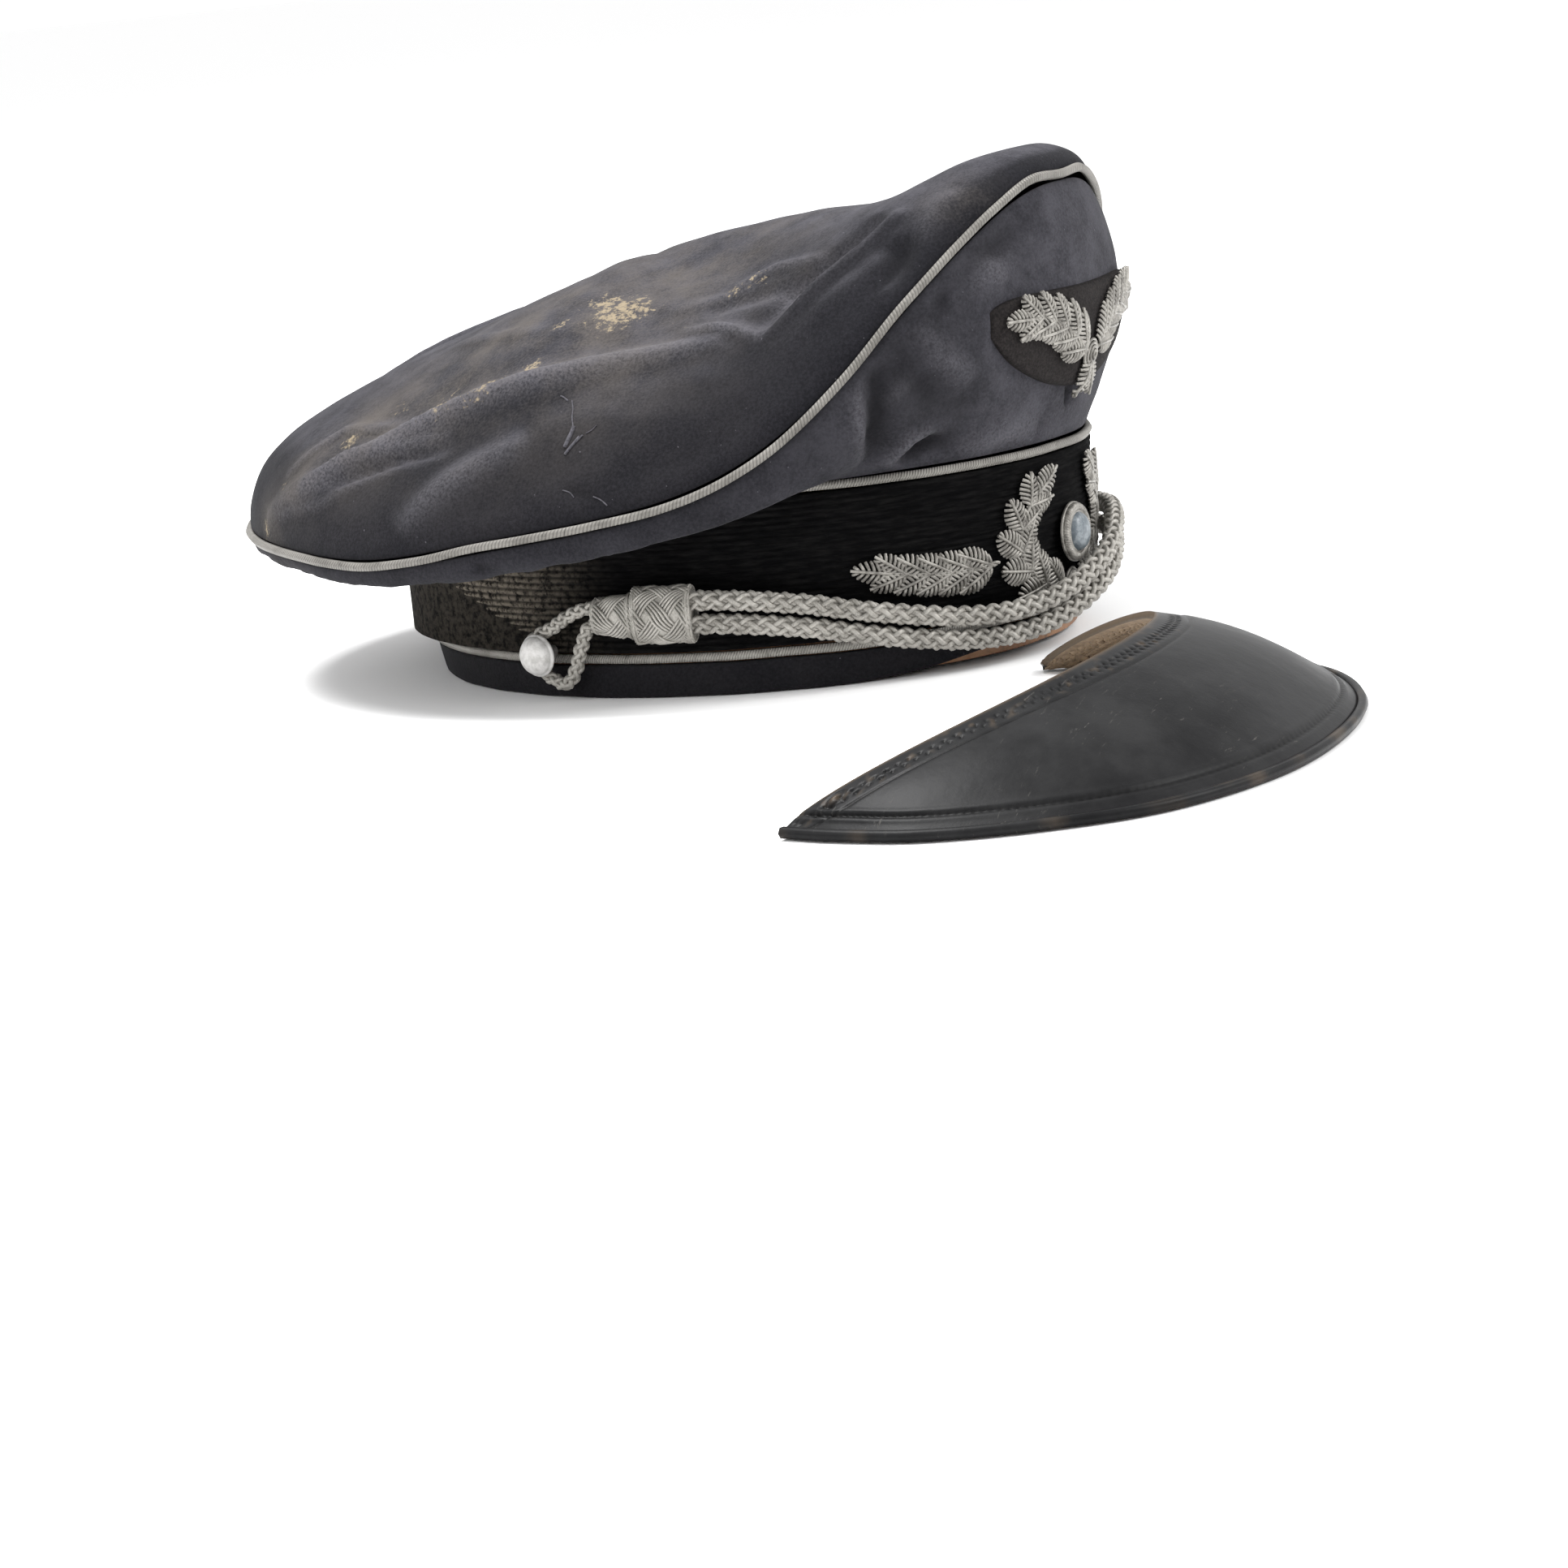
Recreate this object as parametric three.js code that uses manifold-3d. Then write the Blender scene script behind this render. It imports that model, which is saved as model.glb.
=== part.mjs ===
// A peaked cap at rest: a soft crown over a ribbed band, a corded chin strap and a loose peak.
// Millimetres, +Z up, the front of the cap towards -Y, the wearer's right towards -X.
import * as THREE from 'three';
import { mergeVertices } from 'three/addons/utils/BufferGeometryUtils.js';
import Module from 'manifold-3d';

const wasm = await Module();
wasm.setup();

// Head opening and the walls round it
const headLength = 195;
const headWidth = 164;
const sweatbandWall = 1.5;
const sweatbandHeight = 33;
const sweatbandRecess = 1.2;
const bandWall = 2.6;
const bandHeight = 43;
const hemHeight = 9.5;
const frontArch = 5;
const archReach = 46;
const archFlat = 1.6;
const bandFlare = 3;
const frontLean = 2.5;
const backLean = 11;
const pipingDiameter = 3;
const pipingProud = 0.4;
const clearance = 0.3;

// Crown
const crownLength = 272;
const crownWidth = 244;
const crownSetback = 24;
const crownRise = 79;
const crownMiddle = 60;
const crownLap = 0.2;
const clothWall = 2;

// Chin strap
const strandDiameter = 6.5;
const loopDiameter = 4.5;
const bigSlideLength = 15.5;
const smallSlideLength = 12;
const slideWall = 1.1;
const bigSlidePlay = 0.5;
const smallSlidePlay = 0.5;
const strandTuck = 0.4;
const slideAt = 73.9;
const buttonAt = 101.2;
const buttonLift = 14;
const buttonDiameter = 12.5;
const buttonDome = 4.6;
const buttonEdge = 0.8;
const shankDiameter = 3.6;

// Badges
const leafLength = 13;
const leafWidth = 7.8;
const leafDepth = 2.6;
const leafTuck = 2.4;
const stemDiameter = 2.2;
const wreathWidth = 50;
const wreathHeight = 36;
const wreathDrop = 1;
const wreathKnot = 6.8;
const wreathKnotRise = 2;
const bossDrop = 1.9;
const bossDiameter = 17;
const bossDepth = 5.5;
const bossWall = 2.2;
const bossRimWall = 2.6;
const bossRimHeight = 3.4;
const bossRimEdge = 1.3;
const frondLength = 31;
const frondGap = 8;
const frondDrop = 5;
const frondSag = 3;
const frondRise = 5;
const sprayWidth = 80;
const sprayDrop = 8;
const sprayRise = 13;
const sprayKnot = 8;
const sprayShare = 0.48;
const patchWidth = 90;
const patchHeight = 30;
const patchWall = 1;
const patchDip = 8;
const patchSink = 3;
const patchEnds = 0.94;

// Loose peak
const peakSpan = 194;
const peakDepth = 50;
const peakSagitta = 59;
const peakWall = 2;
const peakLift = 26;
const peakDome = 4;
const peakArch = 0.8;
const peakTipGap = 1;
const rimDiameter = 3;
const rimGap = 0.9;
const peakRight = 148;
const peakForward = 130;
const peakTurn = 7;

// Mesh fineness
const ringSteps = 44;
const pipingSides = 5;
const strandSides = 8;
const strandSteps = 34;
const loopSteps = 16;
const rimSteps = 26;
const rimPoints = 24;
const peakSteps = 28;
const slopeStep = 0.02;

const up = new THREE.Vector3(0, 0, 1);
const pipingRadius = pipingDiameter / 2;
const bandInset = sweatbandWall + clearance + bandWall;
const bandFoot = hemHeight + pipingDiameter + 2 * clearance;
const bandTop = bandFoot + bandHeight;
const lowPipingLift = hemHeight + clearance + pipingRadius;
const topPipingLift = bandTop + clearance + pipingRadius;
const crownFoot = bandTop + pipingDiameter + 2 * clearance;

// Height of the crown's piping, as shares of crownRise above the band's foot of the crown
const edgeRows = [
  { at: 0, rise: 0.96 },
  { at: 10, rise: 0.95 },
  { at: 20, rise: 0.82 },
  { at: 30, rise: 0.645 },
  { at: 40, rise: 0.395 },
  { at: 50, rise: 0.17 },
  { at: 60, rise: 0.025 },
  { at: 70, rise: -0.04 },
  { at: 90, rise: -0.12 },
  { at: 105, rise: -0.185 },
  { at: 130, rise: -0.16 },
  { at: 180, rise: -0.14 },
];

// Side cloth of the crown: how its section leaves the band and how it comes up to the piping,
// as shares of crownRise
const sideRows = [
  { at: 0, lowOut: 0.12, lowLift: 0.33, highOut: 0.12, highLift: -0.3 },
  { at: 30, lowOut: 0.15, lowLift: 0.22, highOut: 0.1, highLift: -0.28 },
  { at: 45, lowOut: 0.16, lowLift: 0.09, highOut: 0.06, highLift: -0.27 },
  { at: 62, lowOut: 0.16, lowLift: 0.05, highOut: 0.03, highLift: -0.26 },
  { at: 90, lowOut: 0.16, lowLift: 0.04, highOut: 0.02, highLift: -0.26 },
  { at: 135, lowOut: 0.16, lowLift: 0.04, highOut: 0.02, highLift: -0.22 },
  { at: 180, lowOut: 0.16, lowLift: 0.04, highOut: 0.02, highLift: -0.2 },
];

// Top of the crown: how far each ring swells above a straight line from the middle to the edge,
// as shares of crownRise, for the front (f0), the front's flanks (f30, f50), the sides and the back
const topRows = [
  { ring: 1, f0: 0, f30: 0, f50: 0, f90: 0, f135: 0, f180: 0 },
  { ring: 0.985, f0: 0.06, f30: 0.065, f50: 0.08, f90: 0.1, f135: 0.12, f180: 0.12 },
  { ring: 0.93, f0: 0.1, f30: 0.12, f50: 0.155, f90: 0.17, f135: 0.19, f180: 0.19 },
  { ring: 0.84, f0: 0.08, f30: 0.15, f50: 0.21, f90: 0.215, f135: 0.22, f180: 0.22 },
  { ring: 0.72, f0: 0.01, f30: 0.125, f50: 0.215, f90: 0.245, f135: 0.22, f180: 0.215 },
  { ring: 0.58, f0: -0.005, f30: 0.11, f50: 0.205, f90: 0.245, f135: 0.21, f180: 0.2 },
  { ring: 0.42, f0: 0.03, f30: 0.11, f50: 0.175, f90: 0.215, f135: 0.17, f180: 0.16 },
  { ring: 0.26, f0: 0.03, f30: 0.075, f50: 0.125, f90: 0.165, f135: 0.12, f180: 0.11 },
  { ring: 0.12, f0: 0.02, f30: 0.038, f50: 0.068, f90: 0.1, f135: 0.067, f180: 0.058 },
  { ring: 0, f0: 0, f30: 0, f50: 0, f90: 0, f135: 0, f180: 0 },
];
const topStations = [0, 30, 50, 90, 135, 180];

// Dents and ridges pressed into the top: place as shares of half the crown's width and length,
// reach and depth as shares of half its width and of crownRise
const dentRows = [
  { right: 0.28, back: -0.36, reach: 0.2, depth: -0.05 },
  { right: -0.3, back: -0.42, reach: 0.2, depth: -0.06 },
  { right: 0.5, back: 0.05, reach: 0.24, depth: 0.035 },
  { right: 0.62, back: 0.42, reach: 0.22, depth: -0.045 },
  { right: 0.1, back: 0.45, reach: 0.3, depth: -0.03 },
  { right: -0.35, back: 0.1, reach: 0.32, depth: -0.04 },
];

// Upright folds in the side cloth: depth as a share of crownRise, reach in degrees
const foldRows = [
  { at: 41, reach: 5, depth: -0.075, from: 0.05, to: 0.8 },
  { at: 52, reach: 6, depth: 0.035, from: 0.1, to: 0.9 },
  { at: -43, reach: 6, depth: -0.06, from: 0.05, to: 0.8 },
  { at: 128, reach: 7, depth: -0.03, from: 0.3, to: 1 },
];

// Route of the chin strap's middle line: lift above the hem, distance off the band
const strapRows = [
  { at: 90, lift: 25.5, off: 6.6 },
  { at: 71, lift: 25.5, off: 6.6 },
  { at: 58, lift: 22.5, off: 6.2 },
  { at: 46, lift: 17.5, off: 6 },
  { at: 31, lift: 12.5, off: 6.3 },
  { at: 18, lift: 11.5, off: 6.4 },
  { at: 6, lift: 15, off: 7.8 },
  { at: -6, lift: 21.5, off: 8.8 },
  { at: -18, lift: 27, off: 7.4 },
  { at: -32, lift: 28.5, off: 6.8 },
  { at: -50, lift: 26, off: 6.4 },
  { at: -71, lift: 25.5, off: 6.6 },
  { at: -90, lift: 25.5, off: 6.6 },
];

// Loop round each button, from the upper strand behind it to the lower strand
const loopOff = 4.6;
const loopRows = [
  { at: 0.4, lift: 27.9, off: 6.6 },
  { at: 7.6, lift: 27.9, off: 6.6 },
  { at: 12, lift: 25.4, off: 5.6 },
  { at: 16, lift: 21.6, off: loopOff },
  { at: 19.5, lift: 18.9, off: loopOff },
  { at: 21.8, lift: 14.6, off: loopOff },
  { at: 20.6, lift: 9.8, off: loopOff },
  { at: 18, lift: 6.3, off: loopOff },
  { at: 15.4, lift: 5.1, off: loopOff },
  { at: 13, lift: 9.6, off: 4.8 },
  { at: 10.8, lift: 16.4, off: 5.6 },
  { at: 7.6, lift: 23, off: 6.6 },
  { at: 0.4, lift: 23.1, off: 6.6 },
];

// Plan of the loose peak's outer edge, from a tip to the middle: shares of half its span
// and of its whole reach forward
const peakRows = [
  { s: 1, side: 1.03, forward: -0.01 },
  { s: 0.88, side: 1.07, forward: 0.13 },
  { s: 0.72, side: 1.08, forward: 0.33 },
  { s: 0.54, side: 0.98, forward: 0.57 },
  { s: 0.36, side: 0.78, forward: 0.8 },
  { s: 0.18, side: 0.42, forward: 0.955 },
  { s: 0, side: 0, forward: 1 },
];

function radians(angle) {
  return THREE.MathUtils.degToRad(angle);
}

function degrees(angle) {
  return THREE.MathUtils.radToDeg(angle);
}

function smooth(share) {
  const s = THREE.MathUtils.clamp(share, 0, 1);
  return s * s * (3 - 2 * s);
}

// A column of a table, read between its rows along its first column by a smooth curve.
function read(rows, by, column, value) {
  const rising = rows[0][by] < rows[rows.length - 1][by] ? rows : [...rows].reverse();
  const spot = THREE.MathUtils.clamp(value, rising[0][by], rising[rising.length - 1][by]);
  let i = 0;
  while (i < rising.length - 2 && spot > rising[i + 1][by]) {
    i += 1;
  }
  const slope = (k) => {
    const a = rising[k - 1];
    const b = rising[k + 1];
    return a && b ? (b[column] - a[column]) / (b[by] - a[by]) : 0;
  };
  const span = rising[i + 1][by] - rising[i][by];
  const t = (spot - rising[i][by]) / span;
  const t2 = t * t;
  const t3 = t2 * t;
  const start = (2 * t3 - 3 * t2 + 1) * rising[i][column] + (t3 - 2 * t2 + t) * span * slope(i);
  const end = (3 * t2 - 2 * t3) * rising[i + 1][column] + (t3 - t2) * span * slope(i + 1);
  return start + end;
}

// Angles run from 0 at the front to 180 at the back, positive towards the wearer's right.
function fold(angle) {
  return Math.abs(THREE.MathUtils.euclideanModulo(angle + 180, 360) - 180);
}

// A point of an oval, its length along Y.
function oval(angle, length, width, setback, lift) {
  const a = radians(angle);
  return new THREE.Vector3(-width / 2 * Math.sin(a), setback - length / 2 * Math.cos(a), lift);
}

function outward(angle, length, width) {
  const a = radians(angle);
  return new THREE.Vector3(-Math.sin(a) / width, -Math.cos(a) / length, 0).normalize();
}

// The band's wall at a height: inset 0 is its outer face.
function bandPoint(angle, lift, inset = 0) {
  const share = lift / bandTop;
  const wide = headWidth + 2 * (bandInset - inset) + 2 * bandFlare * share;
  const leanFront = frontLean * share;
  const leanBack = backLean * share;
  const long = headLength + 2 * (bandInset - inset) + 2 * bandFlare * share + leanFront + leanBack;
  return oval(angle, long, wide, (leanBack - leanFront) / 2, lift);
}

function bandNormal(angle) {
  return outward(angle, headLength, headWidth);
}

// A point standing off the band's outer face.
function offBand(angle, lift, off) {
  return bandPoint(angle, lift).addScaledVector(bandNormal(angle), off);
}

// Line of the crown's piping, where the top and the side cloth meet.
function edgePoint(angle) {
  const lift = crownFoot + crownRise * read(edgeRows, 'at', 'rise', fold(angle));
  return oval(angle, crownLength, crownWidth, crownSetback, lift);
}

function crownNormal(angle) {
  return outward(angle, crownLength, crownWidth);
}

function foldDepth(angle, share) {
  let depth = 0;
  for (const row of foldRows) {
    const away = THREE.MathUtils.euclideanModulo(angle - row.at + 180, 360) - 180;
    const along = (share - row.from) / (row.to - row.from);
    const held = along > 0 && along < 1 ? Math.sin(Math.PI * along) : 0;
    depth += row.depth * crownRise * held * Math.exp(-((away / row.reach) ** 2));
  }
  return depth;
}

// Side cloth of the crown, share 0 at the band and 1 at the piping.
function sidePoint(angle, share) {
  const turn = fold(angle);
  const out = crownNormal(angle);
  const foot = bandPoint(angle, bandTop, bandWall / 2).setZ(crownFoot + clothWall / 2 + crownLap);
  const head = edgePoint(angle).addScaledVector(up, -pipingRadius - clearance);
  const low = foot.clone().addScaledVector(out, crownRise * read(sideRows, 'at', 'lowOut', turn));
  low.z += crownRise * read(sideRows, 'at', 'lowLift', turn);
  const high = head.clone().addScaledVector(out, crownRise * read(sideRows, 'at', 'highOut', turn));
  high.z += crownRise * read(sideRows, 'at', 'highLift', turn);
  const point = new THREE.CubicBezierCurve3(foot, low, high, head).getPoint(share);
  return point.addScaledVector(out, foldDepth(angle, share));
}

function dentLift(point) {
  let lift = 0;
  for (const row of dentRows) {
    const x = point.x + row.right * crownWidth / 2;
    const y = point.y - crownSetback - row.back * crownLength / 2;
    const reach = row.reach * crownWidth / 2;
    lift += row.depth * crownRise * Math.exp(-(x * x + y * y) / (reach * reach));
  }
  return lift;
}

// Swell of the top on one of its rings, read between the stations round the cap.
function swell(ring, turn) {
  const row = topStations.map((at) => ({ at, lift: read(topRows, 'ring', 'f' + at, ring) }));
  return read(row, 'at', 'lift', turn);
}

// Top cloth of the crown, ring 1 at the piping and 0 in the middle.
function topPoint(angle, ring) {
  const edge = edgePoint(angle).addScaledVector(up, pipingRadius + clearance);
  const middle = new THREE.Vector3(0, crownSetback, crownFoot + crownMiddle);
  const point = middle.lerp(edge, ring);
  const held = smooth((1 - ring) / 0.2);
  point.z += crownRise * swell(ring, fold(angle)) + held * dentLift(point);
  return point;
}

// A ring-shaped body from a grid of points. Each row is a closed section, and the last row meets
// the first.
function closedGrid(rows) {
  const points = rows.flat();
  const around = rows[0].length;
  const faces = [];
  for (let i = 0; i < rows.length; i += 1) {
    const next = (i + 1) % rows.length;
    for (let j = 0; j < around; j += 1) {
      const k = (j + 1) % around;
      const a = i * around + j;
      const b = i * around + k;
      const c = next * around + k;
      const d = next * around + j;
      faces.push(a, b, c, a, c, d);
    }
  }
  const geometry = new THREE.BufferGeometry().setFromPoints(points);
  geometry.setIndex(faces);
  return facingOut(geometry);
}

function volumeOf(geometry) {
  const p = geometry.getAttribute('position');
  const index = geometry.getIndex();
  const corner = [new THREE.Vector3(), new THREE.Vector3(), new THREE.Vector3()];
  let volume = 0;
  for (let i = 0; i < index.count; i += 3) {
    corner.forEach((c, k) => c.fromBufferAttribute(p, index.getX(i + k)));
    volume += corner[0].dot(corner[1].clone().cross(corner[2])) / 6;
  }
  return volume;
}

function facingOut(geometry) {
  if (volumeOf(geometry) < 0) {
    const index = geometry.getIndex();
    for (let i = 0; i < index.count; i += 3) {
      const first = index.getX(i);
      index.setX(i, index.getX(i + 1));
      index.setX(i + 1, first);
    }
  }
  geometry.computeVertexNormals();
  return geometry;
}

// A ring-shaped body: section(angle) gives the corners of its closed section.
function sweep(section) {
  const rows = [];
  for (let i = 0; i < ringSteps; i += 1) {
    rows.push(section(i * 360 / ringSteps));
  }
  return closedGrid(rows);
}

function pipingRing(centre) {
  return sweep((angle) => {
    const middle = centre(angle);
    const out = crownNormal(angle);
    const corners = [];
    for (let k = 0; k < pipingSides; k += 1) {
      const turn = 2 * Math.PI * (k + 0.5) / pipingSides;
      const corner = middle.clone().addScaledVector(out, pipingRadius * Math.cos(turn));
      corners.push(corner.addScaledVector(up, pipingRadius * Math.sin(turn)));
    }
    return corners;
  });
}

// Unit normal of a surface, by a small step round it and one along it. Its side is 1 or -1.
function surfaceNormal(surface, place, step, share, side) {
  const round = surface(place + step, share).sub(surface(place - step, share));
  const nearer = surface(place, Math.max(share - slopeStep, 0));
  const along = surface(place, Math.min(share + slopeStep, 1)).sub(nearer);
  return round.cross(along).normalize().multiplyScalar(side);
}

// Both faces of a wall along one section, out one side and back the other.
function wallSection(surface, place, step, shares, wall, side) {
  const outer = [];
  const inner = [];
  for (const share of shares) {
    const normal = surfaceNormal(surface, place, step, share, side);
    const point = surface(place, share);
    outer.push(point.clone().addScaledVector(normal, wall / 2));
    inner.push(point.addScaledVector(normal, -wall / 2));
  }
  return [...outer, ...inner.reverse()];
}

function crownSide() {
  const shares = [0, 0.16, 0.34, 0.52, 0.68, 0.84, 1];
  return sweep((angle) => wallSection(sidePoint, angle, 1, shares, clothWall, -1));
}

function crownTop() {
  const rings = topRows.slice(0, -1).map((row) => row.ring);
  const outer = [];
  const inner = [];
  for (let i = 0; i < ringSteps; i += 1) {
    const angle = i * 360 / ringSteps;
    const section = wallSection(topPoint, angle, 1, rings, clothWall, 1);
    outer.push(section.slice(0, rings.length));
    inner.push(section.slice(rings.length).reverse());
  }
  const points = [...outer.flat(), ...inner.flat()];
  const middle = topPoint(0, 0);
  const topPole = points.push(middle.clone().addScaledVector(up, clothWall / 2)) - 1;
  const lowPole = points.push(middle.clone().addScaledVector(up, -clothWall / 2)) - 1;
  const count = rings.length;
  const under = ringSteps * count;
  const last = count - 1;
  const faces = [];
  for (let i = 0; i < ringSteps; i += 1) {
    const a = i * count;
    const b = ((i + 1) % ringSteps) * count;
    for (let k = 0; k < last; k += 1) {
      faces.push(a + k, a + k + 1, b + k + 1, a + k, b + k + 1, b + k);
      faces.push(under + a + k, under + b + k + 1, under + a + k + 1);
      faces.push(under + a + k, under + b + k, under + b + k + 1);
    }
    faces.push(a + last, topPole, b + last);
    faces.push(under + a + last, under + b + last, lowPole);
    faces.push(a, b, under + b, a, under + b, under + a);
  }
  const geometry = new THREE.BufferGeometry().setFromPoints(points);
  geometry.setIndex(faces);
  return facingOut(geometry);
}

// How far the foot of the hem is cut up over the front.
function archLift(angle) {
  return frontArch * smooth(archFlat * (1 - fold(angle) / archReach));
}

function wallRing(foot, head, insetOut, insetIn) {
  return sweep((angle) => [
    bandPoint(angle, foot(angle), insetOut),
    bandPoint(angle, head, insetOut),
    bandPoint(angle, head, insetIn),
    bandPoint(angle, foot(angle), insetIn),
  ]);
}

function sweatband() {
  const long = headLength;
  const wide = headWidth;
  const top = sweatbandRecess + sweatbandHeight;
  return sweep((angle) => [
    oval(angle, long + 2 * sweatbandWall, wide + 2 * sweatbandWall, 0, sweatbandRecess),
    oval(angle, long + 2 * sweatbandWall, wide + 2 * sweatbandWall, 0, top),
    oval(angle, long, wide, 0, top),
    oval(angle, long, wide, 0, sweatbandRecess),
  ]);
}

function bandPiping(lift) {
  return pipingRing((angle) => bandPoint(angle, lift, bandWall / 2).addScaledVector(
    bandNormal(angle), bandWall / 2 - pipingRadius + pipingProud + clearance));
}

function roundShape(radius, sides) {
  const shape = new THREE.Shape();
  shape.moveTo(radius, 0);
  for (let k = 1; k < sides; k += 1) {
    const turn = 2 * Math.PI * k / sides;
    shape.lineTo(radius * Math.cos(turn), radius * Math.sin(turn));
  }
  shape.closePath();
  return shape;
}

// A round cord along a curve.
function cord(points, diameter, steps, sides = strandSides) {
  const extrudePath = new THREE.CatmullRomCurve3(points, false, 'centripetal');
  return new THREE.ExtrudeGeometry(roundShape(diameter / 2, sides), { steps, extrudePath });
}

// One strand of the chin strap, side 1 above the middle line and -1 below it.
function strand(side) {
  const half = (strandDiameter + clearance) / 2;
  const last = slideAt + slideTurn(bigSlideLength) - strandTuck;
  const points = strapRows.map((row) => {
    const at = THREE.MathUtils.clamp(row.at, -last, last);
    return offBand(at, row.lift + side * half, row.off);
  });
  return cord(points, strandDiameter, strandSteps);
}

// Degrees round the side of the band that a length takes up.
function slideTurn(length) {
  return degrees(length / (headLength / 2 + bandInset));
}

// A flat sleeve round two strands laid one above the other.
function sleeve(length, diameter, play) {
  const depth = diameter / 2 + play;
  const tall = diameter + clearance / 2 + play;
  const shape = roundedBox(depth + slideWall, tall + slideWall, depth + slideWall);
  shape.holes.push(roundedBox(depth, tall, depth));
  const geometry = new THREE.ExtrudeGeometry(shape, { depth: length, bevelEnabled: false });
  return geometry.translate(0, 0, -length / 2);
}

function roundedBox(halfWide, halfTall, corner) {
  const shape = new THREE.Shape();
  const turns = 4;
  for (let quarter = 0; quarter < 4; quarter += 1) {
    const x = (quarter === 0 || quarter === 3 ? 1 : -1) * (halfWide - corner);
    const y = (quarter < 2 ? 1 : -1) * (halfTall - corner);
    for (let k = quarter % 2; k <= turns; k += 1) {
      const turn = Math.PI / 2 * (quarter + k / turns);
      const corners = [x + corner * Math.cos(turn), y + corner * Math.sin(turn)];
      if (quarter === 0 && k === 0) {
        shape.moveTo(...corners);
      } else {
        shape.lineTo(...corners);
      }
    }
  }
  shape.closePath();
  return shape;
}

// Turns a piece so that its X points off the band and its Z runs round it.
function seatOnBand(mesh, at, lift, off) {
  const out = bandNormal(at);
  const round = new THREE.Vector3().crossVectors(out, up);
  mesh.position.copy(offBand(at, lift, off));
  mesh.quaternion.setFromRotationMatrix(new THREE.Matrix4().makeBasis(out, up, round));
  return mesh;
}

function buttonLoop(side) {
  const start = slideAt + slideTurn(bigSlideLength);
  const points = loopRows.map((row) => offBand(side * (start + row.at), row.lift, row.off));
  return cord(points, loopDiameter, loopSteps);
}

// A domed button with its shank, standing along X.
function button() {
  const foot = pipingProud + 2 * clearance;
  const head = loopOff + loopDiameter / 2 + 2 * clearance;
  const radius = buttonDiameter / 2;
  const outline = [
    [0, foot],
    [shankDiameter / 2, foot],
    [shankDiameter / 2, head],
    [radius - buttonEdge, head],
    [radius, head + buttonEdge],
    [radius * 0.86, head + buttonDome * 0.58],
    [radius * 0.5, head + buttonDome * 0.9],
    [0, head + buttonDome],
  ];
  const profile = outline.map(([x, y]) => new THREE.Vector2(x, y));
  return new THREE.LatheGeometry(profile, 12).rotateZ(-Math.PI / 2);
}

function solidOf(geometry) {
  const bare = geometry.clone();
  bare.deleteAttribute('normal');
  bare.deleteAttribute('uv');
  const merged = mergeVertices(bare, 1e-4);
  const vertProperties = merged.getAttribute('position').array;
  const triVerts = new Uint32Array(merged.getIndex().array);
  return new wasm.Manifold(new wasm.Mesh({ numProp: 3, vertProperties, triVerts }));
}

// Several closed bodies that meet, joined into one.
function joined(geometries) {
  const whole = geometries.map(solidOf).reduce((sum, next) => sum.add(next));
  const { vertProperties, triVerts } = whole.getMesh();
  const geometry = new THREE.BufferGeometry();
  geometry.setAttribute('position', new THREE.BufferAttribute(vertProperties, 3));
  geometry.setIndex(new THREE.BufferAttribute(triVerts, 1));
  geometry.computeVertexNormals();
  return geometry;
}

// Wraps a flat piece, X across, Y up and Z off the cloth, onto a curved face.
function wrapped(geometry, place) {
  const position = geometry.getAttribute('position');
  for (let i = 0; i < position.count; i += 1) {
    const point = place(position.getX(i), position.getY(i), position.getZ(i));
    position.setXYZ(i, point.x, point.y, point.z);
  }
  geometry.computeVertexNormals();
  return geometry;
}

// A leaf lying flat with its back ridged, its foot at (x, y) and its tip along the turn.
function leaf(x, y, turn, scale) {
  const long = leafLength * scale;
  const geometry = new THREE.OctahedronGeometry(0.5, 0);
  geometry.scale(long, leafWidth * scale, leafDepth);
  geometry.translate(long / 2 - leafTuck, 0, leafDepth / 2);
  return geometry.rotateZ(radians(turn)).translate(x, y, 0);
}

function stem(points) {
  const path = points.map(([x, y]) => new THREE.Vector3(x, y, leafDepth / 2));
  return new THREE.ExtrudeGeometry(roundShape(stemDiameter / 2, 5), {
    steps: 6,
    extrudePath: new THREE.CatmullRomCurve3(path),
  });
}

// Leaves in pairs up a curved stem, with one at its end. Place is given by along (0 to 1).
function sprig(line, pairs, spread, scale) {
  const pieces = [];
  const points = [];
  for (let i = 0; i <= 4; i += 1) {
    points.push(line(i / 4));
  }
  pieces.push(stem(points));
  for (let i = 0; i < pairs; i += 1) {
    const along = (i + 0.4) / pairs;
    const [x, y] = line(along);
    const [x1, y1] = line(along + 0.02);
    const heading = degrees(Math.atan2(y1 - y, x1 - x));
    const size = scale * (1 - 0.25 * along);
    pieces.push(leaf(x, y, heading + spread, size), leaf(x, y, heading - spread, size));
  }
  const [x, y] = line(1);
  const [x0, y0] = line(0.97);
  const heading = degrees(Math.atan2(y - y0, x - x0));
  pieces.push(leaf(x, y, heading, scale * 0.8));
  return pieces;
}

function onBand(lift) {
  const turn = degrees(2 / (headWidth + 2 * bandInset));
  return (x, y, z) => offBand(-x * turn, lift + y, clearance + z);
}

// A place on the front of the crown: x across, y up from the middle of the badge.
function onCrown(x, y, z) {
  const angle = -x * degrees(2 / crownWidth);
  const share = sprayShare + y / crownRise;
  const normal = surfaceNormal(sidePoint, angle, 1, share, -1);
  return sidePoint(angle, share).addScaledVector(normal, clothWall / 2 + clearance + z);
}

const wreathLift = bandFoot + bandHeight / 2 - wreathDrop;

// A flat round knot that ties the stems, at (0, y).
function knot(diameter, y) {
  const geometry = new THREE.SphereGeometry(diameter / 2, 7, 4).scale(1, 1, 0.45);
  return geometry.translate(0, y, diameter / 4);
}

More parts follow.
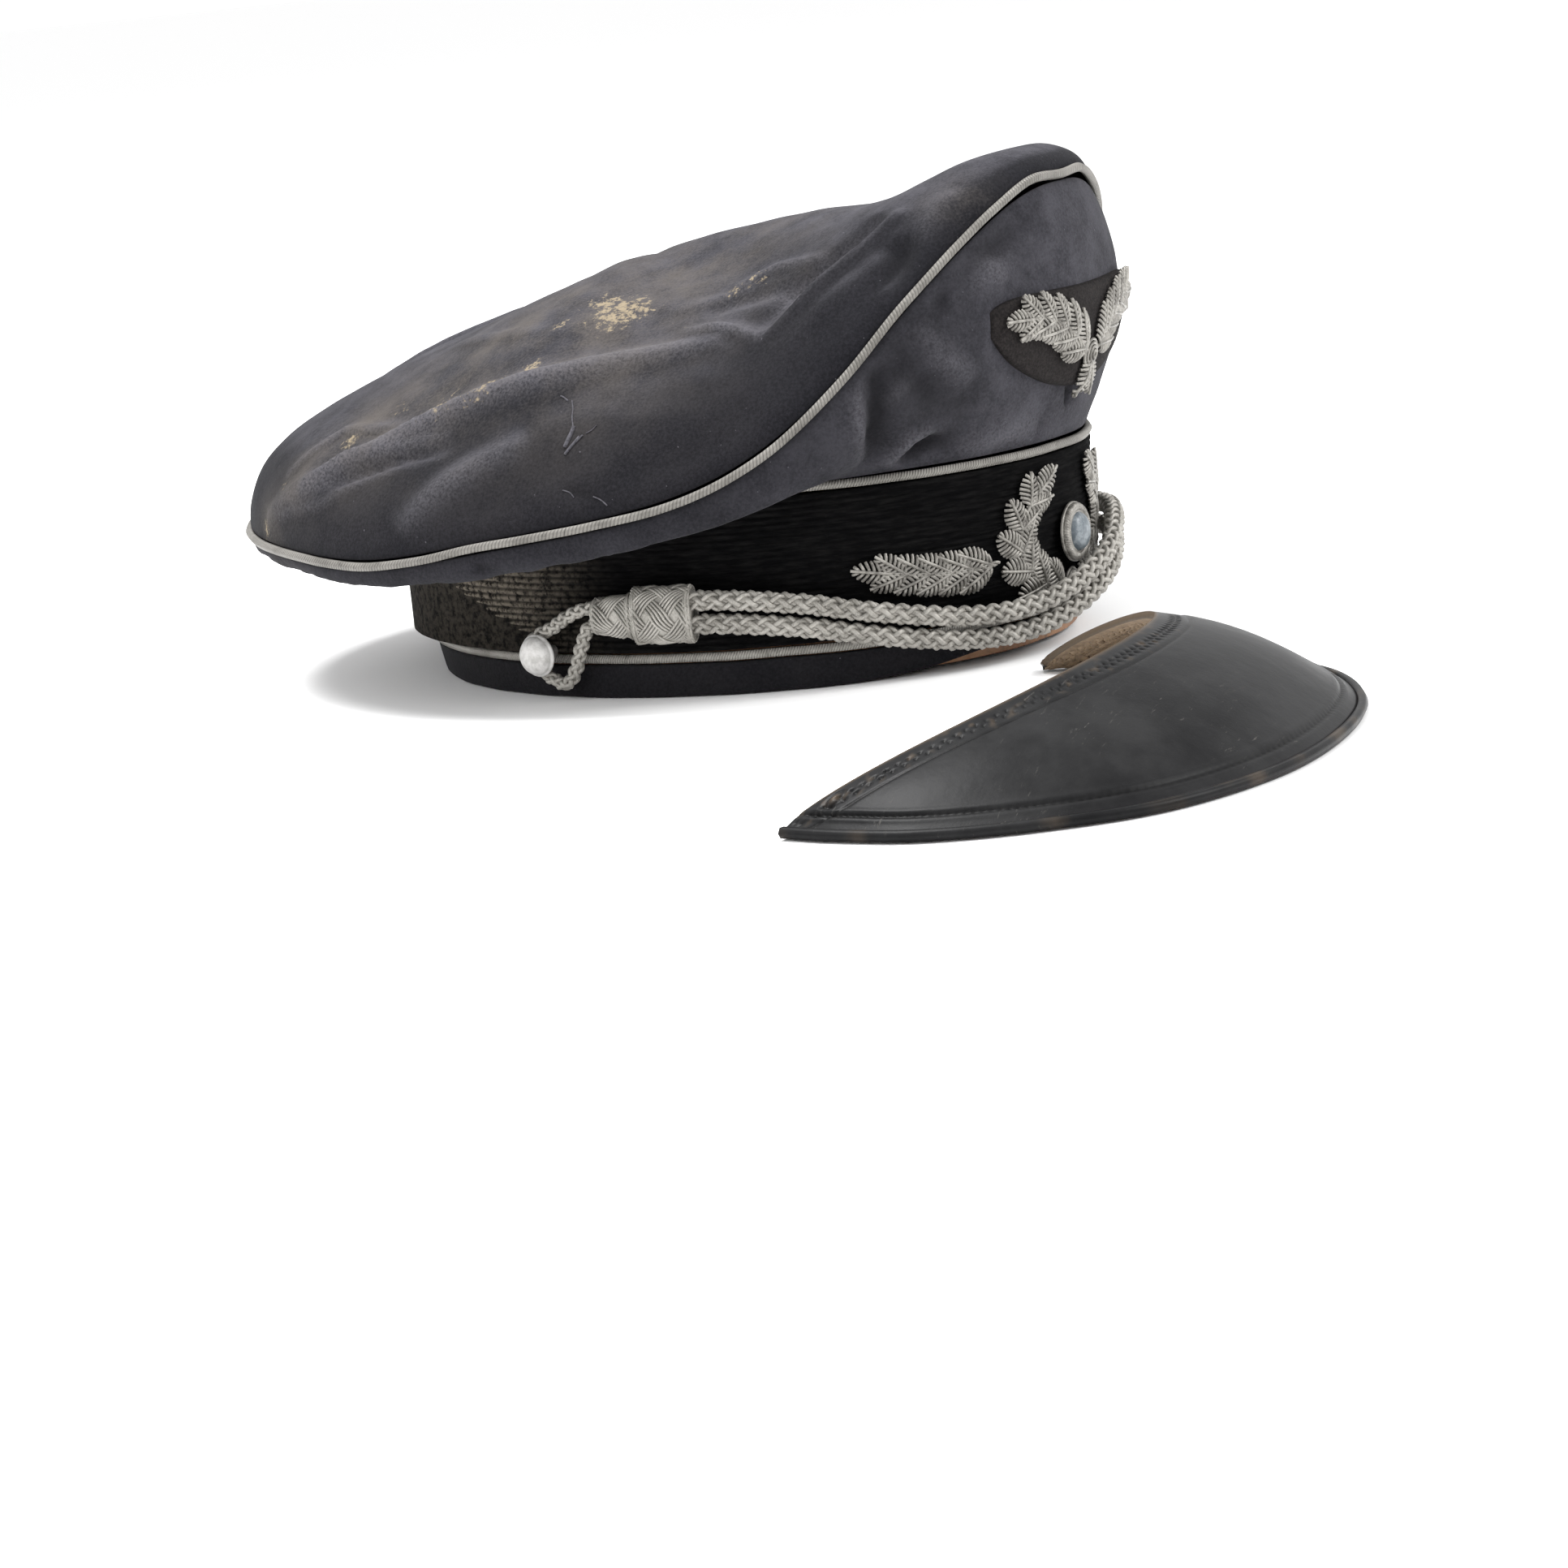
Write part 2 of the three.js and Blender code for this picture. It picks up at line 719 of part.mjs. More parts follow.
// Two leafy branches that rise either side of the boss, joined at the foot.
function wreath() {
  const branch = (side) => (along) => {
    const turn = radians(-90 + side * (4 + 132 * along));
    return [wreathWidth / 2 * Math.cos(turn), wreathHeight / 2 * Math.sin(turn)];
  };
  const pieces = [...sprig(branch(1), 4, 40, 1.15), ...sprig(branch(-1), 4, 40, 1.15)];
  pieces.push(knot(wreathKnot, wreathKnotRise - wreathHeight / 2));
  return wrapped(joined(pieces), onBand(wreathLift));
}

// A long leafy frond lying along the band beside the wreath.
function frond(side) {
  const start = wreathWidth / 2 + frondGap;
  const line = (along) => [
    side * (start + frondLength * along),
    -frondDrop - frondSag * along + frondRise * along ** 2,
  ];
  return wrapped(joined(sprig(line, 3, 28, 1.05)), onBand(wreathLift));
}

function crownSpray() {
  const line = (side) => (along) => [
    side * (sprayKnot / 3 + (sprayWidth / 2 - leafLength) * along),
    -sprayDrop + sprayRise * Math.sin(Math.PI / 2 * along),
  ];
  const pieces = [...sprig(line(1), 4, 34, 1), ...sprig(line(-1), 4, 34, 1)];
  pieces.push(leaf(0, -sprayDrop, -72, 1.05), leaf(0, -sprayDrop, -108, 1.05));
  pieces.push(knot(sprayKnot, -sprayDrop));
  const place = (x, y, z) => onCrown(x, y, z + patchWall + clearance);
  return wrapped(joined(pieces), place);
}

// Cloth patch under the spray, an oval with its middle dipped.
function crownPatch() {
  const across = 10;
  const tall = 4;
  const rows = [];
  for (let i = 0; i <= across; i += 1) {
    const s = 2 * i / across - 1;
    const half = patchHeight / 2 * Math.sqrt(1 - patchEnds * s * s);
    const middle = patchDip * s * s - patchSink;
    const ring = [];
    for (let k = 0; k <= tall; k += 1) {
      ring.push(onCrown(s * patchWidth / 2, middle + half * (2 * k / tall - 1), patchWall));
    }
    for (let k = tall; k >= 0; k -= 1) {
      ring.push(onCrown(s * patchWidth / 2, middle + half * (2 * k / tall - 1), 0));
    }
    rows.push(ring);
  }
  return cappedGrid(rows);
}

// A closed body from rings of points, with its first and last rings closed by flat fans.
function cappedGrid(rows) {
  const around = rows[0].length;
  const points = rows.flat();
  const faces = [];
  for (let i = 0; i < rows.length - 1; i += 1) {
    for (let j = 0; j < around; j += 1) {
      const k = (j + 1) % around;
      const a = i * around;
      const b = a + around;
      faces.push(a + j, a + k, b + k, a + j, b + k, b + j);
    }
  }
  const half = around / 2;
  const end = (rows.length - 1) * around;
  for (let j = 0; j < half - 1; j += 1) {
    const k = around - 1 - j;
    faces.push(j, k, k - 1, j, k - 1, j + 1);
    faces.push(end + j, end + k - 1, end + k, end + j, end + j + 1, end + k - 1);
  }
  const geometry = new THREE.BufferGeometry().setFromPoints(points);
  geometry.setIndex(faces);
  return facingOut(geometry);
}

function bossRim() {
  const outer = bossDiameter / 2;
  const inner = outer - bossRimWall;
  const outline = [
    [inner, 0],
    [outer, 0],
    [outer, bossWall],
    [outer - bossRimEdge, bossRimHeight],
    [inner, bossWall],
    [inner, 0],
  ];
  return new THREE.LatheGeometry(outline.map(([x, y]) => new THREE.Vector2(x, y)), 16);
}

function boss() {
  const radius = bossDiameter / 2 - bossRimWall - clearance;
  const outline = [
    [0, 0],
    [radius, 0],
    [radius, bossWall],
    [radius * 0.8, bossDepth * 0.72],
    [radius * 0.45, bossDepth * 0.94],
    [0, bossDepth],
  ];
  return new THREE.LatheGeometry(outline.map(([x, y]) => new THREE.Vector2(x, y)), 16);
}

// The peak's plan from tip to tip: s runs from -1 to 1.
const peakOutline = [
  ...peakRows.map((row) => ({ s: -row.s, side: -row.side, forward: row.forward })),
  ...peakRows.slice(0, -1).reverse(),
];

// The peak's middle surface: s between its tips, t from its inner to its outer edge.
function peakPoint(s, t) {
  const along = THREE.MathUtils.clamp(s, -1, 1);
  const half = peakSpan / 2;
  const radius = (half * half + peakSagitta * peakSagitta) / (2 * peakSagitta);
  const turn = along * Math.atan2(half, radius - peakSagitta);
  const raised = peakLift * (1 - along * along) ** peakArch;
  const inner = new THREE.Vector3(
    radius * Math.sin(turn),
    radius - peakSagitta - radius * Math.cos(turn),
    rimDiameter / 2 + peakTipGap + raised,
  );
  const outer = new THREE.Vector3(
    half * read(peakOutline, 's', 'side', along),
    -(peakSagitta + peakDepth) * read(peakOutline, 's', 'forward', along),
    rimDiameter / 2,
  );
  const point = inner.lerp(outer, t);
  point.z += peakDome * Math.sin(Math.PI * t) * (1 - along * along);
  return point;
}

function peak() {
  const rows = [];
  for (let i = 0; i <= peakSteps; i += 1) {
    const s = 2 * i / peakSteps - 1;
    rows.push(wallSection(peakPoint, s, slopeStep, [0, 0.18, 0.4, 0.62, 0.82, 1], peakWall, -1));
  }
  return cappedGrid(rows);
}

function peakRim() {
  const points = [];
  for (let i = 0; i <= rimPoints; i += 1) {
    const s = 2 * i / rimPoints - 1;
    const edge = peakPoint(s, 1);
    const along = peakPoint(s + slopeStep, 1).sub(peakPoint(s - slopeStep, 1)).setZ(0).normalize();
    const out = new THREE.Vector3().crossVectors(up, along).negate();
    edge.addScaledVector(out, rimDiameter / 2 + rimGap);
    points.push(edge.setZ(rimDiameter / 2));
  }
  return cord(points, rimDiameter, rimSteps, 6);
}

function finish(colour, roughness, metalness) {
  return new THREE.MeshStandardMaterial({ color: colour, roughness, metalness });
}

const wool = finish(0x474852, 0.95, 0);
const piping = finish(0xa9a79e, 0.55, 0.3);
const ribbed = finish(0x1b1a19, 0.9, 0);
const leather = finish(0x7a4a2c, 0.7, 0);
const silverCord = finish(0xa5a39d, 0.5, 0.4);
const silverWire = finish(0x9c9a94, 0.45, 0.5);
const patchCloth = finish(0x3a3533, 0.95, 0);
const satinMetal = finish(0xc9c9c6, 0.35, 0.9);
const enamel = finish(0x6d7a84, 0.4, 0.1);
const lacquer = finish(0x232427, 0.45, 0);

function piece(name, geometry, material) {
  const mesh = new THREE.Mesh(geometry, material);
  mesh.name = name;
  return mesh;
}

const cap = new THREE.Group();
cap.add(
  piece('crown_top', crownTop(), wool),
  piece('crown_side', crownSide(), wool),
  piece('crown_piping', pipingRing((angle) => (
    edgePoint(angle).addScaledVector(crownNormal(angle), pipingProud))), piping),
  piece('band_top_piping', bandPiping(topPipingLift), piping),
  piece('cap_band', wallRing(() => bandFoot, bandTop, 0, bandWall), ribbed),
  piece('band_foot_piping', bandPiping(lowPipingLift), piping),
  piece('hem', wallRing(archLift, hemHeight, 0, bandWall), wool),
  piece('sweatband', sweatband(), leather),
  piece('chin_cord_upper', strand(1), silverCord),
  piece('chin_cord_lower', strand(-1), silverCord),
);

for (const [name, side] of [['right', 1], ['left', -1]]) {
  const slideLift = strapRows[1].lift;
  const slideOff = strapRows[1].off;
  const bigAt = slideAt + slideTurn(bigSlideLength / 2);
  const smallAt = slideAt + slideTurn(bigSlideLength + clearance + smallSlideLength / 2);
  const bigSleeve = sleeve(bigSlideLength, strandDiameter, bigSlidePlay);
  const smallSleeve = sleeve(smallSlideLength, loopDiameter, smallSlidePlay);
  const bigSlide = piece('big_slide_' + name, bigSleeve, silverCord);
  const smallSlide = piece('small_slide_' + name, smallSleeve, silverCord);
  cap.add(
    seatOnBand(bigSlide, side * bigAt, slideLift, slideOff),
    seatOnBand(smallSlide, side * smallAt, slideLift, slideOff),
    piece('button_loop_' + name, buttonLoop(side), silverCord),
    seatOnBand(piece('button_' + name, button(), satinMetal), side * buttonAt, buttonLift, 0),
    piece('frond_' + name, frond(-side), silverWire),
  );
}

const standing = (geometry) => geometry.rotateX(Math.PI);
const bandSlope = (bandFlare + frontLean) / bandTop;
const bossSeat = offBand(0, wreathLift - bossDrop, clearance + bossDiameter / 2 * bandSlope);
const rimMesh = piece('boss_rim', standing(bossRim()), silverWire);
const bossMesh = piece('boss', standing(boss()), enamel);
rimMesh.position.copy(bossSeat);
bossMesh.position.copy(bossSeat);
cap.add(
  piece('band_wreath', wreath(), silverWire),
  piece('crown_patch', crownPatch(), patchCloth),
  piece('crown_spray', crownSpray(), silverWire),
  rimMesh,
  bossMesh,
);

const loosePeak = new THREE.Group();
loosePeak.add(piece('peak', peak(), lacquer), piece('peak_rim', peakRim(), lacquer));
loosePeak.position.set(-peakRight, -peakForward, 0);
loosePeak.rotation.z = radians(peakTurn);

const whole = new THREE.Group();
whole.add(cap, loosePeak);
const middle = new THREE.Box3().setFromObject(whole, true).getCenter(new THREE.Vector3());
whole.position.set(-middle.x, -middle.y, 0);

export default whole;
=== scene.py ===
import math

import bmesh
import bpy
import numpy as np
from mathutils import Matrix, Vector, noise
from mathutils.bvhtree import BVHTree


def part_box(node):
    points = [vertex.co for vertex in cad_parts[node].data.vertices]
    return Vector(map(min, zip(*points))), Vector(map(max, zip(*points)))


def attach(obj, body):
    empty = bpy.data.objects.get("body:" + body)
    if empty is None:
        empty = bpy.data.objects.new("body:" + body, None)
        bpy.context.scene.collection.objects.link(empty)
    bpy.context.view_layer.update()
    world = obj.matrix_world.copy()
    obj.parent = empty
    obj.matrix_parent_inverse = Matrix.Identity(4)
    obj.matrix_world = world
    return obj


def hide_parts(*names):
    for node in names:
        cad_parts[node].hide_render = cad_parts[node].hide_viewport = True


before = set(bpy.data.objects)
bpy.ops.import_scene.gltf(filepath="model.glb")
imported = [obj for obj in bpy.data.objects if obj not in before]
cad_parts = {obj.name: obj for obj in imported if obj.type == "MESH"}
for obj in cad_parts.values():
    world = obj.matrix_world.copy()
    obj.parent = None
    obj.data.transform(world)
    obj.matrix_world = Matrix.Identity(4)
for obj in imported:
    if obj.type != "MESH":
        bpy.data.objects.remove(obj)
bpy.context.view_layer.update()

mm = 0.001
body = "root"


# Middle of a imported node
def middleOf(node):
    low, high = (Vector(corner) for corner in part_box(node))
    return (low + high) / 2


# The cap's own frame: its origin is the middle of the head opening, on the floor
capMiddle = middleOf("sweatband")


def atCap(x, y, z):
    return Vector((capMiddle.x + x * mm, capMiddle.y + y * mm, z * mm))


# Camera at the photograph's angle, found from the cap's outline. Pixels are of a 1932 square
cameraFit = {
    "azimuth": -60,
    "elevation": 7,
    "roll": -5.9,
    "distance": 1300,
    "aim": (0, 10, 60),
    "aimPixel": (882.6, 549.8),
    "pixelsPerMm": 4.04,
    "frameSize": 1932,
    "sensor": 36,
}


def cameraAxes(fit):
    turn, tilt, roll = (math.radians(fit[key]) for key in ("azimuth", "elevation", "roll"))
    back = Vector((math.sin(turn) * math.cos(tilt), -math.cos(turn) * math.cos(tilt), math.sin(tilt)))
    across = Vector((math.cos(turn), math.sin(turn), 0))
    above = back.cross(across)
    right = across * math.cos(roll) + above * math.sin(roll)
    top = above * math.cos(roll) - across * math.sin(roll)
    place = atCap(*fit["aim"]) + back * fit["distance"] * mm
    focal = fit["pixelsPerMm"] * fit["distance"]
    offRight = fit["aimPixel"][0] - fit["frameSize"] / 2
    offDown = fit["aimPixel"][1] - fit["frameSize"] / 2
    back = (back * focal + right * offRight - top * offDown).normalized()
    right = (right - back * right.dot(back)).normalized()
    return place, right, back.cross(right), back, focal


cameraPlace, cameraRight, cameraTop, cameraBack, cameraFocal = cameraAxes(cameraFit)


def addObject(name, data):
    made = bpy.data.objects.new(name, data)
    bpy.context.collection.objects.link(made)
    return made


# A seat at a place, with its X, Y and Z along three directions
def seatAt(place, *directions):
    return Matrix.Translation(place) @ Matrix(directions).transposed().to_4x4()


def placeCamera():
    data = bpy.data.cameras.new("camera")
    data.sensor_width = cameraFit["sensor"]
    data.lens = cameraFocal / cameraFit["frameSize"] * cameraFit["sensor"]
    data.clip_start = 0.05
    data.clip_end = 20
    camera = addObject("camera", data)
    camera.matrix_world = seatAt(cameraPlace, cameraRight, cameraTop, cameraBack)
    bpy.context.scene.camera = camera


# Where the line of sight through a pixel of the photograph meets a surface
def atPixel(surface, x, y):
    half = cameraFit["frameSize"] / 2
    ray = cameraRight * (x - half) - cameraTop * (y - half) - cameraBack * cameraFocal
    return surface.ray_cast(cameraPlace, ray.normalized())[0]


# Shader sums are written as expressions on sockets
class Socket:
    def __init__(self, finish, socket):
        self.finish = finish
        self.socket = socket

    def __add__(self, other):
        return self.finish.maths("ADD", self, other)

    def __radd__(self, other):
        return self.finish.maths("ADD", other, self)

    def __sub__(self, other):
        return self.finish.maths("SUBTRACT", self, other)

    def __rsub__(self, other):
        return self.finish.maths("SUBTRACT", other, self)

    def __mul__(self, other):
        return self.finish.maths("MULTIPLY", self, other)

    def __rmul__(self, other):
        return self.finish.maths("MULTIPLY", other, self)


class Finish:
    def __init__(self, name, settings):
        self.material = bpy.data.materials.new(name)
        self.material.use_nodes = True
        self.tree = self.material.node_tree
        self.shader = self.tree.nodes["Principled BSDF"]
        for label, value in settings.items():
            self.shader.inputs[label].default_value = value

    def node(self, kind, settings=None, inputs=None, output=0):
        made = self.tree.nodes.new("ShaderNode" + kind)
        for key, value in (settings or {}).items():
            setattr(made, key, value)
        for key, value in (inputs or {}).items():
            if isinstance(value, Socket):
                self.tree.links.new(value.socket, made.inputs[key])
            else:
                made.inputs[key].default_value = value
        return Socket(self, made.outputs[output])

    def maths(self, operation, first, second=0.0):
        return self.node("Math", {"operation": operation}, {0: first, 1: second})

    def place(self):
        return self.node("TexCoord", output=3)

    def flat(self):
        return self.node("TexCoord", output=2)

    def painted(self, name):
        return self.node("Attribute", {"attribute_name": name}, output=2)

    def stretched(self, vector, scale, turn=(0, 0, 0)):
        return self.node("Mapping", {}, {"Vector": vector, "Scale": scale, "Rotation": turn})

    def noise(self, scale, detail=3.0, roughness=0.55, vector=None):
        where = vector or self.place()
        inputs = {"Scale": scale, "Detail": detail, "Roughness": roughness, "Vector": where}
        return self.node("TexNoise", {}, inputs)

    def cells(self, scale, vector=None):
        return self.node("TexVoronoi", {}, {"Scale": scale, "Vector": vector or self.place()})

    def between(self, value, low, high):
        inputs = {"Value": value, "From Min": low, "From Max": high}
        return self.node("MapRange", {"interpolation_type": "SMOOTHSTEP"}, inputs)

    def mix(self, share, first, second):
        inputs = {0: share, 6: (*first, 1) if isinstance(first, tuple) else first}
        inputs[7] = (*second, 1) if isinstance(second, tuple) else second
        return self.node("Mix", {"data_type": "RGBA"}, inputs, output=2)

    def bump(self, height, strength, distance, under=None):
        inputs = {"Height": height, "Strength": strength, "Distance": distance}
        if under:
            inputs["Normal"] = under
        return self.node("Bump", {}, inputs)

    def feed(self, label, value):
        self.tree.links.new(value.socket, self.shader.inputs[label])

    def coloured(self, share, first, second):
        self.feed("Base Color", self.mix(share, first, second))

    def raised(self, height, strength, distance, under=None):
        self.feed("Normal", self.bump(height, strength, distance, under))

    def spots(self, scale, detail, low, high):
        return self.between(self.noise(scale, detail), low, high)


def woolFinish():
    wool = {
        "base": (0.0045, 0.0045, 0.0062),
        "pale": (0.0115, 0.0112, 0.0145),
        "faded": (0.056, 0.0545, 0.064),
        "rubbed": (0.125, 0.121, 0.136),
        "dark": (0.0035, 0.0035, 0.0045),
        "brown": (0.085, 0.074, 0.064),
        "lime": (0.24, 0.195, 0.13),
    }
    cloth = Finish("wool", {"Roughness": 0.95, "Specular IOR Level": 0.15, "Sheen Weight": 0.015})
    nap = cloth.noise(1150, 4, 0.7)
    cloud = cloth.noise(38, 4, 0.6)
    colour = cloth.mix(cloth.between(nap * 0.75 + cloud * 0.25, 0.36, 0.66), wool["base"], wool["pale"])
    worn = cloth.between(cloth.noise(105, 4, 0.65) * 0.6 + nap * 0.4, 0.3, 0.68) * 0.9 + 0.35
    # Painted light: faces that turn up, and the front of the side cloth, are lightened, mottled by the nap
    colour = cloth.mix(cloth.painted("fade") * worn, colour, wool["faded"])
    # Worn nap and painted light: crease ridges and the lit sides of folds are lightened
    colour = cloth.mix(cloth.painted("rub") * cloth.between(nap, 0.1, 0.8) * 0.75, colour, wool["rubbed"])
    colour = cloth.mix(cloth.painted("shade") * 0.8, colour, wool["dark"])
    dust = cloth.painted("dust") * cloth.between(cloud * 0.7 + nap * 0.3, 0.34, 0.66) * 0.75
    colour = cloth.mix(dust, colour, wool["brown"])
    specks = cloth.between(cloth.noise(420, 5, 0.75) + cloth.painted("lime") * 0.35, 0.73, 0.85)
    specks = specks * cloth.between(cloth.painted("lime"), 0.08, 0.5) * 0.85
    colour = cloth.mix(specks, colour, wool["lime"])
    lint = cloth.between(cloth.noise(700, 2, 0.5), 0.745, 0.79)
    colour = cloth.mix(lint * 0.45, colour, wool["rubbed"])
    cloth.feed("Base Color", colour)
    soft = cloth.bump(cloth.noise(210, 3, 0.6), 0.35, 0.0006)
    cloth.raised(nap, 0.55, 0.00035, soft)
    return cloth.material


def metalThreadFinish():
    thread = {"pale": (0.36, 0.345, 0.315), "worn": (0.2, 0.19, 0.17), "darkest": (0.03, 0.027, 0.024)}
    turns = 760  # slanting threads along one piping
    piping = Finish("metal_thread", {"Roughness": 0.55, "Metallic": 0.25})
    where = piping.stretched(piping.flat(), (turns, 3, 1))
    split = piping.node("SeparateXYZ", {}, {"Vector": where})
    across = piping.node("SeparateXYZ", {}, {"Vector": where}, output=1)
    rows = piping.maths("SINE", (split + across) * (2 * math.pi))
    age = piping.noise(70, 4, 0.65)
    colour = piping.mix(piping.between(age, 0.36, 0.7), thread["pale"], thread["worn"])
    # Painted shade in the grooves between the slanting threads, with spots of grime
    groove_shade_and_grime = piping.between(0 - rows, 0.25, 1.0) * 0.55 + piping.spots(380, 3, 0.56, 0.75) * 0.35
    colour = piping.mix(piping.painted("grey"), colour, thread["darkest"])
    piping.coloured(groove_shade_and_grime, colour, thread["darkest"])
    piping.raised(rows, 0.6, 0.00025)
    return piping.material


def mohairFinish():
    braid = {"black": (0.0018, 0.0018, 0.002), "grey": (0.0062, 0.006, 0.006), "dust": (0.17, 0.148, 0.12)}
    band = Finish("mohair", {"Roughness": 0.95, "Specular IOR Level": 0.04})
    fibre = band.noise(60, 4, 0.7, band.stretched(band.place(), (3, 3, 16)))
    streaks = band.noise(900, 3, 0.6, band.stretched(band.place(), (0.12, 0.12, 1)))
    colour = band.mix(band.between(fibre * 0.5 + streaks * 0.5, 0.42, 0.66), braid["black"], braid["grey"])
    dusty = band.painted("dust") * band.between(band.noise(520, 4, 0.7), 0.34, 0.6)
    band.coloured(dusty * 0.9, colour, braid["dust"])
    band.raised(streaks, 0.5, 0.0003)
    return band.material


def cordFinish():
    thread = {"pale": (0.36, 0.345, 0.315), "grey": (0.19, 0.18, 0.16), "darkest": (0.05, 0.043, 0.036)}
    cord = Finish("silver_cord", {"Roughness": 0.5, "Metallic": 0.3})
    fine = cord.noise(2200, 3, 0.6)
    age = cord.noise(130, 4, 0.6)
    colour = cord.mix(cord.between(age * 0.6 + fine * 0.4, 0.38, 0.66), thread["pale"], thread["grey"])
    cord.coloured(cord.spots(330, 4, 0.57, 0.74) * 0.5, colour, thread["darkest"])
    cord.raised(fine, 0.5, 0.0002)
    return cord.material


def coreFinish():
    core = Finish("cord_core", {"Roughness": 0.9})
    core.coloured(core.noise(900, 2), (0.018, 0.016, 0.014), (0.05, 0.045, 0.04))
    return core.material


def wireFinish():
    wire = Finish("silver_wire", {"Roughness": 0.42, "Metallic": 0.45})
    age = wire.noise(260, 4, 0.65)
    colour = wire.mix(wire.between(age, 0.38, 0.68), (0.27, 0.258, 0.235), (0.11, 0.103, 0.092))
    wire.coloured(wire.spots(700, 3, 0.6, 0.75) * 0.5, colour, (0.05, 0.045, 0.04))
    wire.raised(wire.noise(2600, 2), 0.45, 0.0002)
    return wire.material


def patchFinish():
    patch = Finish("patch_cloth", {"Roughness": 0.95, "Specular IOR Level": 0.15})
    nap = patch.noise(1300, 4, 0.7)
    patch.coloured(patch.between(nap, 0.34, 0.7), (0.007, 0.006, 0.006), (0.02, 0.017, 0.0165))
    patch.raised(nap, 0.6, 0.0004)
    return patch.material


def buttonFinish():
    metal = Finish("button_metal", {"Metallic": 0.2})
    pebble = metal.cells(1500)
    tarnish = metal.noise(420, 4, 0.6)
    metal.coloured(metal.between(tarnish, 0.4, 0.72), (0.6, 0.59, 0.575), (0.42, 0.41, 0.395))
    metal.feed("Roughness", metal.between(tarnish, 0.2, 0.9) * 0.2 + 0.5)
    metal.raised(pebble, 0.25, 0.0002)
    return metal.material


def enamelFinish():
    paint = Finish("boss_paint", {"Coat Weight": 0.15})
    wear = paint.noise(520, 5, 0.65)
    colour = paint.mix(paint.between(wear, 0.42, 0.62), (0.075, 0.094, 0.11), (0.165, 0.188, 0.203))
    paint.coloured(paint.between(wear, 0.66, 0.72), colour, (0.1, 0.1, 0.1))
    paint.feed("Roughness", wear * 0.35 + 0.25)
    paint.raised(wear, 0.3, 0.0002)
    return paint.material


def leatherFinish():
    hide = Finish("sweatband_leather", {})
    grain = hide.cells(900)
    age = hide.noise(60, 5, 0.65)
    colour = hide.mix(hide.between(age, 0.35, 0.7), (0.22, 0.105, 0.052), (0.36, 0.2, 0.11))
    hide.coloured(hide.spots(240, 4, 0.55, 0.75) * 0.7, colour, (0.06, 0.032, 0.02))
    hide.feed("Roughness", age * 0.3 + 0.45)
    hide.raised(grain, 0.35, 0.0003)
    return hide.material


def lacquerFinish():
    peak = {"black": (0.005, 0.005, 0.0055), "grey": (0.016, 0.016, 0.0165), "scuff": (0.11, 0.104, 0.096),
            "edge": (0.17, 0.125, 0.085)}
    lacquer = Finish("peak_lacquer", {"Specular IOR Level": 0.08})
    cloud = lacquer.noise(42, 5, 0.6)
    colour = lacquer.mix(lacquer.between(cloud, 0.3, 0.75), peak["black"], peak["grey"])
    scratches = lacquer.noise(150, 5, 0.75, lacquer.stretched(lacquer.place(), (1, 6, 1), (0, 0, 0.7)))
    scuffs = lacquer.between(scratches, 0.6, 0.7) * lacquer.spots(30, 2, 0.45, 0.64)
    colour = lacquer.mix(scuffs * 0.6, colour, peak["scuff"])
    # Painted shade in the pressed score line, stitch line and needle holes
    colour = lacquer.mix(lacquer.painted("groove"), colour, (0.001, 0.001, 0.001))
    colour = lacquer.mix(lacquer.painted("worn") * 0.7, colour, peak["edge"])
    lacquer.feed("Base Color", colour)
    lacquer.feed("Roughness", cloud * 0.22 + scuffs * 0.2 + 0.29)
    fine = lacquer.bump(lacquer.noise(1400, 3), 0.12, 0.0002)
    lacquer.raised(lacquer.noise(95, 3), 0.22, 0.0008, fine)
    return lacquer.material


def undersideFinish():
    under = Finish("peak_underside", {"Roughness": 0.75})
    grain = under.noise(500, 5, 0.7)
    under.coloured(under.between(grain, 0.35, 0.7), (0.2, 0.14, 0.085), (0.11, 0.075, 0.045))
    under.raised(grain, 0.4, 0.0003)
    return under.material


wool = woolFinish()
metalThread = metalThreadFinish()
mohair = mohairFinish()
silverCord = cordFinish()
cordCore = coreFinish()
silverWire = wireFinish()
patchCloth = patchFinish()
buttonMetal = buttonFinish()
bossPaint = enamelFinish()
leather = leatherFinish()
lacquer = lacquerFinish()
underside = undersideFinish()
print("materials made")


def addPiece(name, mesh, materials, nodes=(), smooth=True):
    piece = addObject(name, mesh)
    mesh.materials.clear()
    for material in materials:
        mesh.materials.append(material)
    if smooth:
        mesh.shade_smooth()
    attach(piece, body)
    if nodes:
        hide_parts(*nodes)
    return piece


def meshOf(bm, name):
    mesh = bpy.data.meshes.new(name)
    bm.to_mesh(mesh)
    bm.free()
    return mesh


